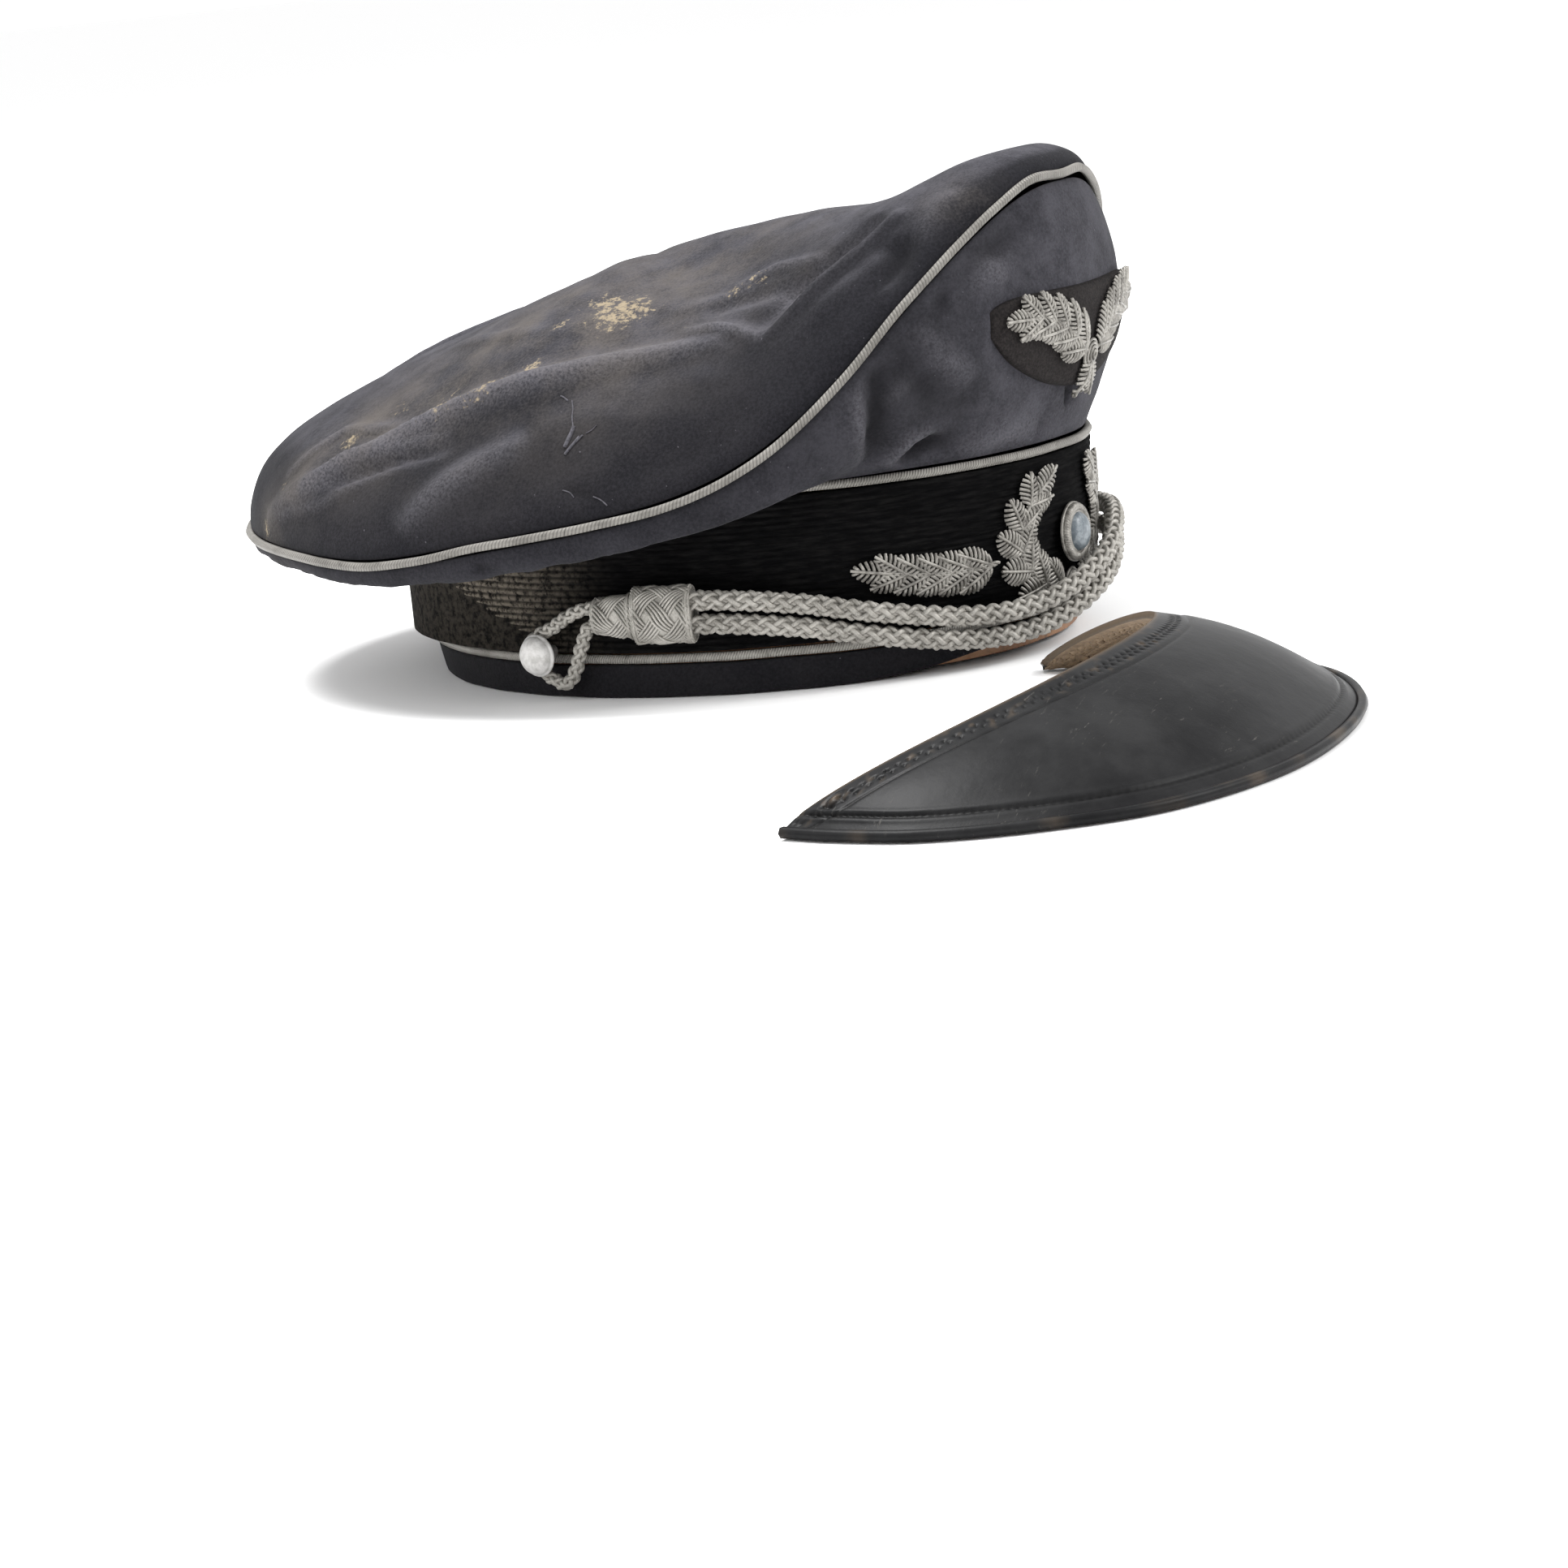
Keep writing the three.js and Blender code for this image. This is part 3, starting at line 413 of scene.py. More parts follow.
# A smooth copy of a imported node, with its hard edges rounded first
def softCopy(node, levels, rounding=0.0):
    bm = bmesh.new()
    bm.from_mesh(bpy.data.objects[node].data)
    bmesh.ops.remove_doubles(bm, verts=bm.verts, dist=0.02 * mm)
    bmesh.ops.join_triangles(
        bm, faces=bm.faces, angle_face_threshold=math.pi, angle_shape_threshold=math.pi)
    bmesh.ops.recalc_face_normals(bm, faces=bm.faces)
    if rounding:
        sharp = [edge for edge in bm.edges if edge.calc_face_angle(0) > math.radians(50)]
        bmesh.ops.bevel(bm, geom=sharp, offset=rounding, offset_type="OFFSET", affect="EDGES", segments=2,
                        profile=0.5, material=-1)
    rough = addObject("rough", meshOf(bm, "rough"))
    finer = rough.modifiers.new("finer", "SUBSURF")
    finer.levels = finer.render_levels = levels
    ready = rough.evaluated_get(bpy.context.evaluated_depsgraph_get())
    mesh = bpy.data.meshes.new_from_object(ready)
    mesh.name = node + "_skin"
    bpy.data.objects.remove(rough)
    return mesh


def pointsOf(mesh):
    flat = np.empty(len(mesh.vertices) * 3)
    mesh.vertices.foreach_get("co", flat)
    return flat.reshape(-1, 3)


def normalsOf(mesh):
    flat = np.empty(len(mesh.vertices) * 3)
    mesh.vertex_normals.foreach_get("vector", flat)
    return flat.reshape(-1, 3)


def movePoints(mesh, points):
    mesh.vertices.foreach_set("co", points.ravel())
    mesh.update()


def paint(mesh, name, values):
    layer = mesh.attributes.new(name, "FLOAT", "POINT")
    layer.data.foreach_set("value", np.clip(values, 0, 1).astype(np.float32))


def paintEvenly(mesh, **values):
    for name, value in values.items():
        paint(mesh, name, np.full(len(mesh.vertices), value))


# Distance of each point from a chain of points, how far along it the nearest place is, and that place
def nearChain(points, chain):
    best = np.full(len(points), 1e9)
    along = np.zeros(len(points))
    nearest = np.zeros((len(points), 3))
    steps = len(chain) - 1
    for index in range(steps):
        start = np.array(chain[index])
        run = np.array(chain[index + 1]) - start
        share = np.clip((points - start) @ run / (run @ run), 0, 1)
        places = start + share[:, None] * run
        away = np.linalg.norm(points - places, axis=1)
        closer = away < best
        best[closer] = away[closer]
        along[closer] = (index + share[closer]) / steps
        nearest[closer] = places[closer]
    return best, along, nearest


# Draws the cloth's edge in against a line of piping
def drawnIn(points, line, reach, share):
    away, along, nearest = nearChain(points, [*line, line[0]])
    pull = share * np.exp(-(away / (reach * mm)) ** 2)
    return points + (nearest - points) * pull[:, None], away


def smoothStep(values, low, high):
    share = np.clip((values - low) / (high - low), 0, 1)
    return share * share * (3 - 2 * share)


def wander(points, scale, offset=0.0):
    shift = Vector((offset, offset, offset))
    return np.array([noise.noise(Vector(point) * scale + shift) for point in points])


# Makes a surface uneven by hand-made waves, to a depth in millimetres
def roughen(mesh, scale, depth):
    points = pointsOf(mesh)
    movePoints(mesh, points + normalsOf(mesh) * (wander(points, scale) * depth * mm)[:, None])


def treeOf(mesh):
    bm = bmesh.new()
    bm.from_mesh(mesh)
    tree = BVHTree.FromBMesh(bm)
    bm.free()
    return tree


# Middle points of the sections of a ring-shaped node, in order round the cap
def ringLine(node, centre):
    bm = bmesh.new()
    bm.from_mesh(bpy.data.objects[node].data)
    bmesh.ops.remove_doubles(bm, verts=bm.verts, dist=0.02 * mm)
    turned = []
    start = 0.07  # the count starts between two sections
    gap = 0.045  # the least turn from one section to the next
    for vert in bm.verts:
        away = vert.co - centre
        turned.append(((math.atan2(away.y, away.x) + start) % (2 * math.pi), vert.co.copy()))
    bm.free()
    turned.sort(key=lambda entry: entry[0])
    sections = [[turned[0]]]
    for entry in turned[1:]:
        if entry[0] - sections[-1][-1][0] > gap:
            sections.append([])
        sections[-1].append(entry)
    return [sum((place for turn, place in part), Vector()) / len(part) for part in sections]


# A smooth line through points, in even steps
def smoothLine(points, step, closed=False):
    count = len(points)
    dense = []
    spans = count if closed else count - 1
    for index in range(spans):
        if closed:
            a, b, c, d = (points[(index + k) % count] for k in (-1, 0, 1, 2))
        else:
            a, b, c, d = (points[min(max(index + k, 0), count - 1)] for k in (-1, 0, 1, 2))
        for k in range(12):
            t = k / 12
            dense.append(0.5 * (2 * b + (c - a) * t + (2 * a - 5 * b + 4 * c - d) * t * t
                                + (3 * b - a - 3 * c + d) * t * t * t))
    dense.append(points[0].copy() if closed else points[-1].copy())
    lengths = [0.0]
    for before, after in zip(dense, dense[1:]):
        lengths.append(lengths[-1] + (after - before).length)
    steps = max(2, round(lengths[-1] / step))
    line = []
    index = 0
    for k in range(steps + 1):
        goal = lengths[-1] * k / steps
        while index < len(dense) - 2 and lengths[index + 1] < goal:
            index += 1
        share = (goal - lengths[index]) / max(lengths[index + 1] - lengths[index], 1e-9)
        line.append(dense[index].lerp(dense[index + 1], min(max(share, 0), 1)))
    return line[:-1] if closed else line


def lengthOf(line):
    return sum((after - before).length for before, after in zip(line, line[1:]))


# Round threads along lines, as one mesh. Each thread is a line, its diameter and its material
def threadMesh(name, threads, thickest, closed=False):
    curve = bpy.data.curves.new(name, "CURVE")
    curve.dimensions = "3D"
    curve.bevel_depth = thickest / 2
    curve.bevel_resolution = 1
    curve.use_fill_caps = True
    for line, diameter, material in threads:
        spline = curve.splines.new("POLY")
        spline.points.add(len(line) - 1)
        spline.points.foreach_set("co", [value for place in line for value in (*place, 1)])
        spline.points.foreach_set("radius", [diameter / thickest] * len(line))
        spline.use_cyclic_u = closed
        spline.material_index = material
    carrier = addObject(name, curve)
    mesh = bpy.data.meshes.new_from_object(carrier)
    bpy.data.objects.remove(carrier)
    return mesh


# Creases follow the photograph: rise and reach in millimetres, how much worn nap and painted light they
# get, and a chain of pixels.
# A dent's rise is negative
topCreases = [
    (3.7, 5.0, 0.9, [(330, 648), (400, 590), (470, 553), (514, 531), (600, 493), (683, 466), (790, 440),
                     (897, 417)]),
    (0.7, 1.9, 1.1, [(420, 578), (514, 528), (600, 490), (683, 463), (790, 437), (860, 420)]),
    (1.8, 2.2, 0.6, [(372, 604), (430, 572), (505, 552), (560, 535)]),
    (1.5, 2.0, 0.8, [(352, 590), (395, 552), (426, 531), (500, 524)]),
    (-1.5, 2.4, 0.2, [(360, 612), (430, 590), (500, 566), (560, 548)]),
    (0.9, 1.8, 0.4, [(345, 640), (392, 622), (450, 590), (500, 572)]),
    (1.1, 2.2, 0.5, [(560, 424), (610, 415), (667, 409)]),
    (2.2, 5.0, 0.6, [(491, 658), (537, 608), (591, 573), (650, 545)]),
    (-1.1, 7.0, 0.0, [(560, 640), (640, 596), (730, 570)]),
    (-3.4, 4.5, 0.4, [(925, 410), (968, 364), (1022, 322), (1058, 292), (1085, 268)]),
    (2.6, 2.6, 0.1, [(946, 414), (986, 378), (1040, 324), (1082, 286), (1112, 260)]),
    (1.4, 4.0, 0.05, [(960, 432), (1010, 384), (1060, 345), (1100, 312)]),
    (2, 2.0, 0.8, [(840, 410), (880, 405), (911, 406), (943, 416)]),
    (1.8, 2.4, 0.6, [(904, 358), (930, 345), (957, 330), (1018, 315)]),
    (-1.6, 3.6, 0.35, [(870, 388), (940, 362), (1010, 343)]),
    (0.9, 3.0, 0.4, [(820, 385), (880, 372), (935, 352)]),
    (-3.5, 5.0, 0.0, [(1112, 292), (1110, 325), (1103, 360)]),
    (1.1, 4.0, 0.3, [(1135, 300), (1150, 262), (1180, 235)]),
    (-0.9, 1.4, 0.0, [(698, 600), (720, 609), (744, 619)]),
    (-1.5, 8.0, 0.0, [(760, 590), (860, 556), (940, 500)]),
]
# Creases out of the photograph's sight, in the cap's own frame seen from above
farCreases = [
    (3.3, 5.0, 0.6, [(30, 140), (52, 105), (68, 60), (72, 15), (58, -30)]),
    (-2, 4.0, 0.0, [(15, 128), (24, 96), (28, 60)]),
    (1.8, 2.6, 0.5, [(-8, 132), (-2, 100), (6, 66)]),
    (-3.5, 12.0, 0.0, [(44, -10), (34, -38), (18, -62)]),
    (-1.8, 5.0, 0.0, [(90, 80), (96, 40), (98, 0)]),
    (1.5, 4.0, 0.4, [(60, -52), (50, -72), (36, -88)]),
]
sideCreases = [
    (1.6, 2.4, 0.9, [(1058, 467), (1060, 520), (1061, 572)]),
    (-4.2, 4.2, 0.0, [(1074, 446), (1082, 500), (1080, 540), (1076, 572)]),
    (2.4, 2.4, 1.0, [(1092, 574), (1108, 556), (1122, 538), (1151, 528)]),
    (-4.2, 3.2, 0.0, [(1112, 572), (1126, 558), (1140, 548), (1172, 544)]),
    (-1.6, 3.6, 0.0, [(1132, 356), (1150, 368), (1172, 372)]),
    (-2.2, 5.5, 0.0, [(1100, 420), (1122, 462), (1160, 500), (1200, 512)]),
    (1.5, 4.0, 0.6, [(1128, 400), (1160, 440), (1196, 470)]),
    (-1.8, 4.5, 0.0, [(1180, 332), (1226, 300), (1262, 262)]),
    (1.5, 3.6, 0.6, [(1160, 300), (1200, 312), (1240, 350)]),
    (1.1, 2.4, 0.6, [(1090, 502), (1104, 484), (1124, 468)]),
    (0.9, 3.0, 0.4, [(1196, 360), (1216, 332), (1250, 312)]),
    (-1.7, 1.0, 0.0, [(1316, 474), (1315, 500), (1313, 531)]),
    (0.9, 5.0, 0.6, [(1180, 560), (1230, 540), (1280, 520)]),
    (-2.9, 1.6, 0.0, [(347, 691), (350, 703), (352, 714)]),
    (-2.9, 1.6, 0.0, [(368, 699), (374, 710), (378, 721)]),
    (-2.2, 1.6, 0.0, [(392, 705), (396, 714), (400, 722)]),
    (-1.8, 1.4, 0.0, [(590, 692), (598, 704), (607, 715)]),
    (1.1, 3.0, 0.4, [(930, 604), (960, 620), (1010, 612)]),
]
# Places of the side cloth in soft shade: pixel, radius in millimetres, strength
sideShade = [(1108, 440, 14, 0.5), (1150, 400, 16, 0.45), (1130, 490, 15, 0.5), (1180, 480, 13, 0.35),
             (1215, 300, 14, 0.35), (1170, 350, 12, 0.4), (1012, 570, 12, 0.3), (880, 640, 14, 0.3)]
# Worn and soiled places on the top: pixel, radius in millimetres, strength
soilSpots = {
    "dust": [(700, 400, 46, 1.0), (560, 470, 34, 1.0), (850, 340, 40, 0.85), (450, 535, 24, 1.0),
             (960, 330, 22, 0.4), (1185, 245, 10, 0.6), (330, 650, 12, 0.7), (380, 585, 14, 0.8)],
    "lime": [(765, 385, 13, 0.95), (745, 372, 8, 0.9), (600, 485, 9, 0.8), (545, 505, 10, 0.75),
             (655, 455, 6, 0.8), (432, 545, 4.5, 0.95), (328, 652, 5, 0.9), (352, 600, 4, 0.6),
             (935, 345, 7, 0.7), (905, 360, 6, 0.7), (690, 400, 4, 0.8), (500, 500, 8, 0.5),
             (840, 400, 8, 0.45)],
}
crownCentre = atCap(0, 24, 92)


# Strength of a set of soft spots at each point of a cloth
def spotted(points, surface, spots):
    mask = np.zeros(len(points))
    for x, y, radius, strength in spots:
        hit = atPixel(surface, x, y)
        if hit:
            away = np.linalg.norm(points - np.array(hit), axis=1)
            mask = np.maximum(mask, strength * np.exp(-(away / (radius * mm)) ** 2))
    return mask


# Chains of surface points under the pixels of each crease
def chainsOf(surface, creases):
    chains = []
    for crease in creases:
        hits = [hit for hit in (atPixel(surface, x, y) for x, y in crease[3]) if hit]
        if len(hits) > 1:
            chains.append((*crease[:3], hits))
    return chains


# Painted shadow in the seam beside a piping
def seamShade(away):
    return 0.95 * np.exp(-(away / (2.3 * mm)) ** 2)


# The points of a crown cloth, their normals, and 1 where a normal leads out of the crown or -1
def skinOf(mesh):
    points = pointsOf(mesh)
    normals = normalsOf(mesh)
    return points, normals, np.sign(np.einsum("ij,ij->i", normals, points - np.array(crownCentre)))


# Pushes the cloth along its creases. Creases with a share of worn nap and painted light are lightened, and
# the other dents get painted shade
def creased(mesh, chains, held, spots):
    points, normals, outward = skinOf(mesh)
    move = np.zeros(len(points))
    rub = np.zeros(len(points))
    shade = np.zeros(len(points))
    for rise, reach, rubbed, chain in chains:
        away, along, nearest = nearChain(points, chain)
        shape = np.exp(-(away / (reach * mm)) ** 2) * np.sin(math.pi * np.clip(along, 0, 1)) ** 0.4
        move += rise * mm * shape
        rub += rubbed * shape
        if not rubbed:
            shade += max(0, -rise) / reach * 0.95 * shape
    hand = wander(points, 34) * 0.9 + wander(points, 95, 3.0) * 0.32
    move += hand * mm
    movePoints(mesh, points + normals * (outward * move * held)[:, None])
    paint(mesh, "rub", rub * held)
    paint(mesh, "shade", shade * held + spots)
    return points, normalsOf(mesh)[:, 2] * outward


def makeCrown():
    edge = smoothLine(ringLine("crown_piping", atCap(0, 24, 90)), 2 * mm, closed=True)
    foot = smoothLine(ringLine("band_top_piping", atCap(0, 4, 58)), 2 * mm, closed=True)
    top = softCopy("crown_top", levels=3)
    surface = treeOf(top)
    chains = chainsOf(surface, topCreases)
    for crease in farCreases:
        hits = [surface.ray_cast(atCap(x, y, 260), Vector((0, 0, -1)))[0] for x, y in crease[3]]
        chains.append((*crease[:3], [hit for hit in hits if hit]))
    points, fromEdge = drawnIn(pointsOf(top), edge, reach=3.2, share=0.6)
    movePoints(top, points)
    points, facing = creased(top, chains, smoothStep(fromEdge, 1.5 * mm, 11 * mm), seamShade(fromEdge))
    # Painted light: the faces of the top that turn up are lightened
    paint(top, "fade", smoothStep(facing, 0.72, 0.98) * 0.72)
    for name, spots in soilSpots.items():
        paint(top, name, spotted(points, surface, spots))
    addPiece("crown_top_cloth", top, [wool], ["crown_top"])
    side = softCopy("crown_side", levels=3)
    surface = treeOf(side)
    chains = chainsOf(surface, sideCreases)
    points, fromEdge = drawnIn(pointsOf(side), edge, reach=2.6, share=0.4)
    points, fromFoot = drawnIn(points, foot, reach=4.2, share=0.78)
    movePoints(side, points)
    held = smoothStep(fromEdge, 1.2 * mm, 7 * mm) * smoothStep(fromFoot, 1.6 * mm, 8 * mm)
    shade = spotted(points, surface, sideShade) + seamShade(fromEdge) + seamShade(fromFoot)
    creased(side, chains, held, shade)
    # Painted light: the side cloth is lightened a little all over, and more towards the front
    paint(side, "fade", smoothStep(-points[:, 1], -0.02, 0.07) * 0.4 + 0.2)
    # Small gathers where the side cloth is drawn in under the crown
    points, normals, outward = skinOf(side)
    turn = np.arctan2(points[:, 0] - crownCentre.x, points[:, 1] - crownCentre.y)
    rings = np.stack([np.cos(turn), np.sin(turn), points[:, 2] * 6], axis=1)
    gathers = wander(rings, 13) * 0.7 + wander(rings, 31, 5.0) * 0.35
    behind = smoothStep(-np.abs(turn), -2.5, -1.7)
    movePoints(side, points + normals * (outward * gathers * behind * held * mm)[:, None])
    paint(side, "dust", smoothStep(points[:, 1] - crownCentre.y, 0.05, 0.13) * 0.5)
    paintEvenly(side, lime=0)
    addPiece("crown_side_cloth", side, [wool], ["crown_side"])
    return edge, foot


# A small tear in the top: pixels, thickness in millimetres, and 1 where it is a black line of painted
# shadow
tearLines = [
    ([(707, 526), (704, 534), (700, 542), (696, 551)], 1.3, 1),
    ([(714, 538), (708, 545), (702, 552), (696, 560)], 0.8, 0),
    ([(718, 536), (711, 543), (704, 549), (699, 557)], 0.5, 0),
    ([(705, 494), (706, 504), (705, 514), (706, 525)], 0.4, 0),
    ([(691, 488), (695, 490), (700, 494)], 0.5, 0),
    ([(722, 534), (729, 530), (735, 524)], 0.3, 0),
    ([(693, 604), (702, 607), (707, 613)], 0.35, 1),
    ([(731, 612), (740, 616), (748, 623)], 0.4, 1),
]


def makeTear():
    surface = treeOf(bpy.data.objects["crown_top_cloth"].data)
    threads = []
    # Threads marked 1 are black lines of painted shadow in the slit and small folds; the others are pale
    # frayed threads
    for pixels, thick, dark in tearLines:
        hits = [atPixel(surface, x, y) for x, y in pixels]
        line = smoothLine([hit + cameraBack * (0.25 - 0.1 * dark) * mm for hit in hits if hit], 0.4 * mm)
        threads.append((line, thick * mm, dark))
    mesh = threadMesh("crown_tear", threads, 0.9 * mm)
    # The threads are lightened as worn frayed fibre, with some painted light
    paintEvenly(mesh, rub=0.9, shade=0, dust=0, lime=0, fade=0.3)
    addPiece("crown_tear", mesh, [wool, mohair])


crownEdge, bandTopEdge = makeCrown()
makeTear()
print("crown made")


def makePiping(node, line, diameter, grey):
    wavy = [place + Vector((0, 0, 0.25 * mm * noise.noise(place * 60))) for place in line]
    mesh = threadMesh(node, [(wavy, diameter * mm, 0)], diameter * mm, closed=True)
    paintEvenly(mesh, grey=grey)
    addPiece(node + "_thread", mesh, [metalThread], [node])


makePiping("crown_piping", crownEdge, diameter=2.7, grey=0.48)
makePiping("band_top_piping", bandTopEdge, diameter=2.7, grey=0.38)
bandFootEdge = smoothLine(ringLine("band_foot_piping", atCap(0, 1, 11)), 2 * mm, closed=True)
makePiping("band_foot_piping", bandFootEdge, diameter=2.8, grey=0)
print("piping made")

bandSize = {
    "headWidth": 164,
    "headLength": 195,
    "width": 172.8,
    "length": 203.8,
    "flare": 3,
    "leanFront": 2.5,
    "leanBack": 11,
    "foot": 13.1,
    "top": 56.1,
    "wall": 2.5,
    "ribs": 23,
    "ribDepth": 0.5,
}


def bandNormal(at):
    turn = math.radians(at)
    x, y = math.sin(turn) / bandSize["headWidth"], math.cos(turn) / bandSize["headLength"]
    return Vector((-x, -y, 0)).normalized()


def offBand(at, lift, off=0.0):
    share = lift / bandSize["top"]
    lean = (bandSize["leanFront"] * share, bandSize["leanBack"] * share)
    wide = bandSize["width"] + 2 * bandSize["flare"] * share
    long = bandSize["length"] + 2 * bandSize["flare"] * share + sum(lean)
    turn = math.radians(at)
    middle = (lean[1] - lean[0]) / 2
    place = atCap(-wide / 2 * math.sin(turn), middle - long / 2 * math.cos(turn), lift)
    return place + bandNormal(at) * off * mm


# The way off the band at a place near it
def outAt(place):
    x = (place.x - capMiddle.x) / (bandSize["width"] / 2)
    y = (place.y - capMiddle.y) / (bandSize["length"] / 2)
    return bandNormal(math.degrees(math.atan2(-x, -y)))


# Draws out open edges, and gives the new edges and corners
def drawnOut(bm, edges):
    grown = bmesh.ops.extrude_edge_only(bm, edges=edges)["geom"]
    return ([part for part in grown if isinstance(part, bmesh.types.BMEdge)],
            [part for part in grown if isinstance(part, bmesh.types.BMVert)])


def makeBand():
    size = bandSize
    bm = bmesh.new()
    bmesh.ops.create_grid(bm, x_segments=size["ribs"] * 6, y_segments=260, size=1)
    tall = size["top"] - size["foot"]
    for vert in bm.verts:
        up, around = (vert.co.x + 1) / 2, (vert.co.y + 1) * 180
        rib = abs(math.sin(math.pi * size["ribs"] * up)) ** 0.7 - 1
        vert.co = offBand(around, size["foot"] + tall * up, size["ribDepth"] * rib)
    bmesh.ops.remove_doubles(bm, verts=bm.verts, dist=0.01 * mm)
    rims = [edge for edge in bm.edges if edge.is_boundary]
    upper = [edge for edge in rims if edge.verts[0].co.z > (size["foot"] + tall / 2) * mm]
    lower = [edge for edge in rims if edge.verts[0].co.z <= (size["foot"] + tall / 2) * mm]
    for depth, lift in ((size["wall"], 0), (0, -tall)):
        upper, moved = drawnOut(bm, upper)
        for vert in moved:
            vert.co += Vector((0, 0, lift * mm)) - outAt(vert.co) * depth * mm
    bmesh.ops.bridge_loops(bm, edges=upper + lower)
    bmesh.ops.recalc_face_normals(bm, faces=bm.faces)
    mesh = meshOf(bm, "band_braid")
    points = pointsOf(mesh)
    roughen(mesh, scale=120, depth=0.12)
    ridge = np.abs(np.sin(math.pi * size["ribs"] * (points[:, 2] / mm - size["foot"]) / tall))
    dust = smoothStep(points[:, 1] - capMiddle.y, -0.005, 0.055) * (ridge * 0.8 + 0.2)
    paint(mesh, "dust", dust)
    addPiece("band_braid", mesh, [mohair], ["cap_band"])


def makeHem():
    hem = softCopy("hem", levels=2, rounding=0.7 * mm)
    roughen(hem, scale=70, depth=0.35)
    # The hem is painted half in shade all over
    paintEvenly(hem, rub=0.05, shade=0.5, dust=0.05, lime=0, fade=0)
    addPiece("hem_cloth", hem, [wool], ["hem"])
    inner = softCopy("sweatband", levels=2, rounding=0.5 * mm)
    roughen(inner, scale=45, depth=0.4)
    addPiece("sweatband_leather", inner, [leather], ["sweatband"])


makeBand()
makeHem()
print("band, hem and sweatband made")


# Axes that follow a line round the band: out from the band, and across the line
def framesOf(line):
    frames = []
    for index, place in enumerate(line):
        run = (line[min(index + 1, len(line) - 1)] - line[max(index - 1, 0)]).normalized()
        out = outAt(place)
        out = (out - run * out.dot(run)).normalized()
        frames.append((place, out, run.cross(out), run))
    return frames


def rounded(value, square):
    return math.copysign(abs(value) ** square, value)


# A point of a rounded section: half its width out from the band and across the line, in millimetres
def onSection(axes, turn, halfOut, halfAcross, square):
    place, out, across, run = axes
    return (place + out * rounded(math.cos(turn), square) * halfOut * mm
            + across * rounded(math.sin(turn), square) * halfAcross * mm)


# Threads that cross over and under each other round a line. Halves gives the section's half
# width out from the band and across the line, in millimetres, at a share of the length
def plaitThreads(line, halves, braid):
    threads = []
    frames = framesOf(line)
    count = braid["carriers"]
    total = lengthOf(line)
    rate = math.pi / (count * braid["crossing"] * mm)
    for way in (1, -1):
        for carrier in range(count):
            for strand in range(braid["threads"]):
                gone = 0.0
                chain = []
                for index, axes in enumerate(frames):
                    if index:
                        gone += (axes[0] - frames[index - 1][0]).length
                    halfOut, halfAcross = halves(gone / total)
                    spread = (strand - (braid["threads"] - 1) / 2) * braid["thread"] * 1.3
                    spread /= (halfOut + halfAcross) / 2
                    turn = way * rate * gone + 2 * math.pi * carrier / count + spread
                    weave = way * braid["weave"] * math.cos(count * (rate * gone + way * spread / 2))
                    section = (halfOut + weave, halfAcross + weave, braid["square"])
                    chain.append(onSection(axes, turn, *section))
                threads.append((chain, braid["thread"] * mm, 0))
    return threads


def steady(halfOut, halfAcross):
    return lambda share: (halfOut, halfAcross)


def tapered(first, last):
    return lambda share: (first[0] + (last[0] - first[0]) * share, first[1] + (last[1] - first[1]) * share)


# A plain body swept along a line, closed at both ends
def sweptBody(line, halves, square):
    bm = bmesh.new()
    frames = framesOf(line)

    def seat(index):
        place, out, across, run = frames[index]
        halfOut, halfAcross = halves(index / (len(frames) - 1))
        return seatAt(place, out * halfOut * mm, across * halfAcross * mm, run)

    bmesh.ops.create_circle(bm, segments=32, radius=1)
    for vert in bm.verts:
        vert.co.x, vert.co.y = rounded(vert.co.x, square), rounded(vert.co.y, square)
    bmesh.ops.transform(bm, matrix=seat(0), verts=bm.verts)
    loop = list(bm.edges)
    ends = [loop]
    for index in range(1, len(frames)):
        loop, moved = drawnOut(bm, loop)
        bmesh.ops.transform(bm, matrix=seat(index) @ seat(index - 1).inverted(), verts=moved)
    ends.append(loop)
    for rim in ends:
        bmesh.ops.contextual_create(bm, geom=rim)
    bmesh.ops.recalc_face_normals(bm, faces=bm.faces)
    return bm


# Route of the chin strap's middle line: angle, lift and distance off the band
strapRoute = [
    (90, 25.5, 6.6), (71, 25.5, 6.6), (58, 22.5, 6.2), (46, 17.5, 6), (31, 12.5, 6.3), (18, 11.5, 6.4),
    (6, 15, 7.8), (-6, 21.5, 8.8), (-18, 27, 7.4), (-32, 28.5, 6.8), (-50, 26, 6.4), (-71, 25.5, 6.6),
    (-90, 25.5, 6.6),
]
# Route of the loop round a button, its angles counted from the slides
loopRoute = [
    (0.4, 27.9, 6.6), (7.6, 27.9, 6.6), (12, 25.4, 5.6), (16, 21.6, 4.6), (19.5, 18.9, 4.6),
    (21.8, 14.6, 4.6), (20.6, 9.8, 4.6), (18, 6.3, 4.6), (15.4, 5.1, 4.6), (13, 9.6, 4.8),
    (10.8, 16.4, 5.6), (7.6, 23, 6.6), (0.4, 23.1, 6.6),
]
strap = {"slideAt": 73.9, "slideEnd": 82.6, "smallEnd": 89.4, "last": 82.2, "half": 3.4, "lift": 25.5,
         "off": 6.6}
strandBraid = {"carriers": 4, "threads": 1, "thread": 1.55, "crossing": 2.4, "weave": 0.5, "square": 1,
               "across": 6.5, "gap": 0.35, "step": 0.5}
loopBraid = {"carriers": 3, "threads": 1, "thread": 1.5, "crossing": 1.9, "weave": 0.32, "square": 1,
             "across": 4.5, "gap": 0.3, "step": 0.45}
bigSlide = {"carriers": 5, "threads": 5, "thread": 0.85, "crossing": 4.3, "weave": 0.45, "square": 0.8,
            "out": 4.3, "across": 7.7}
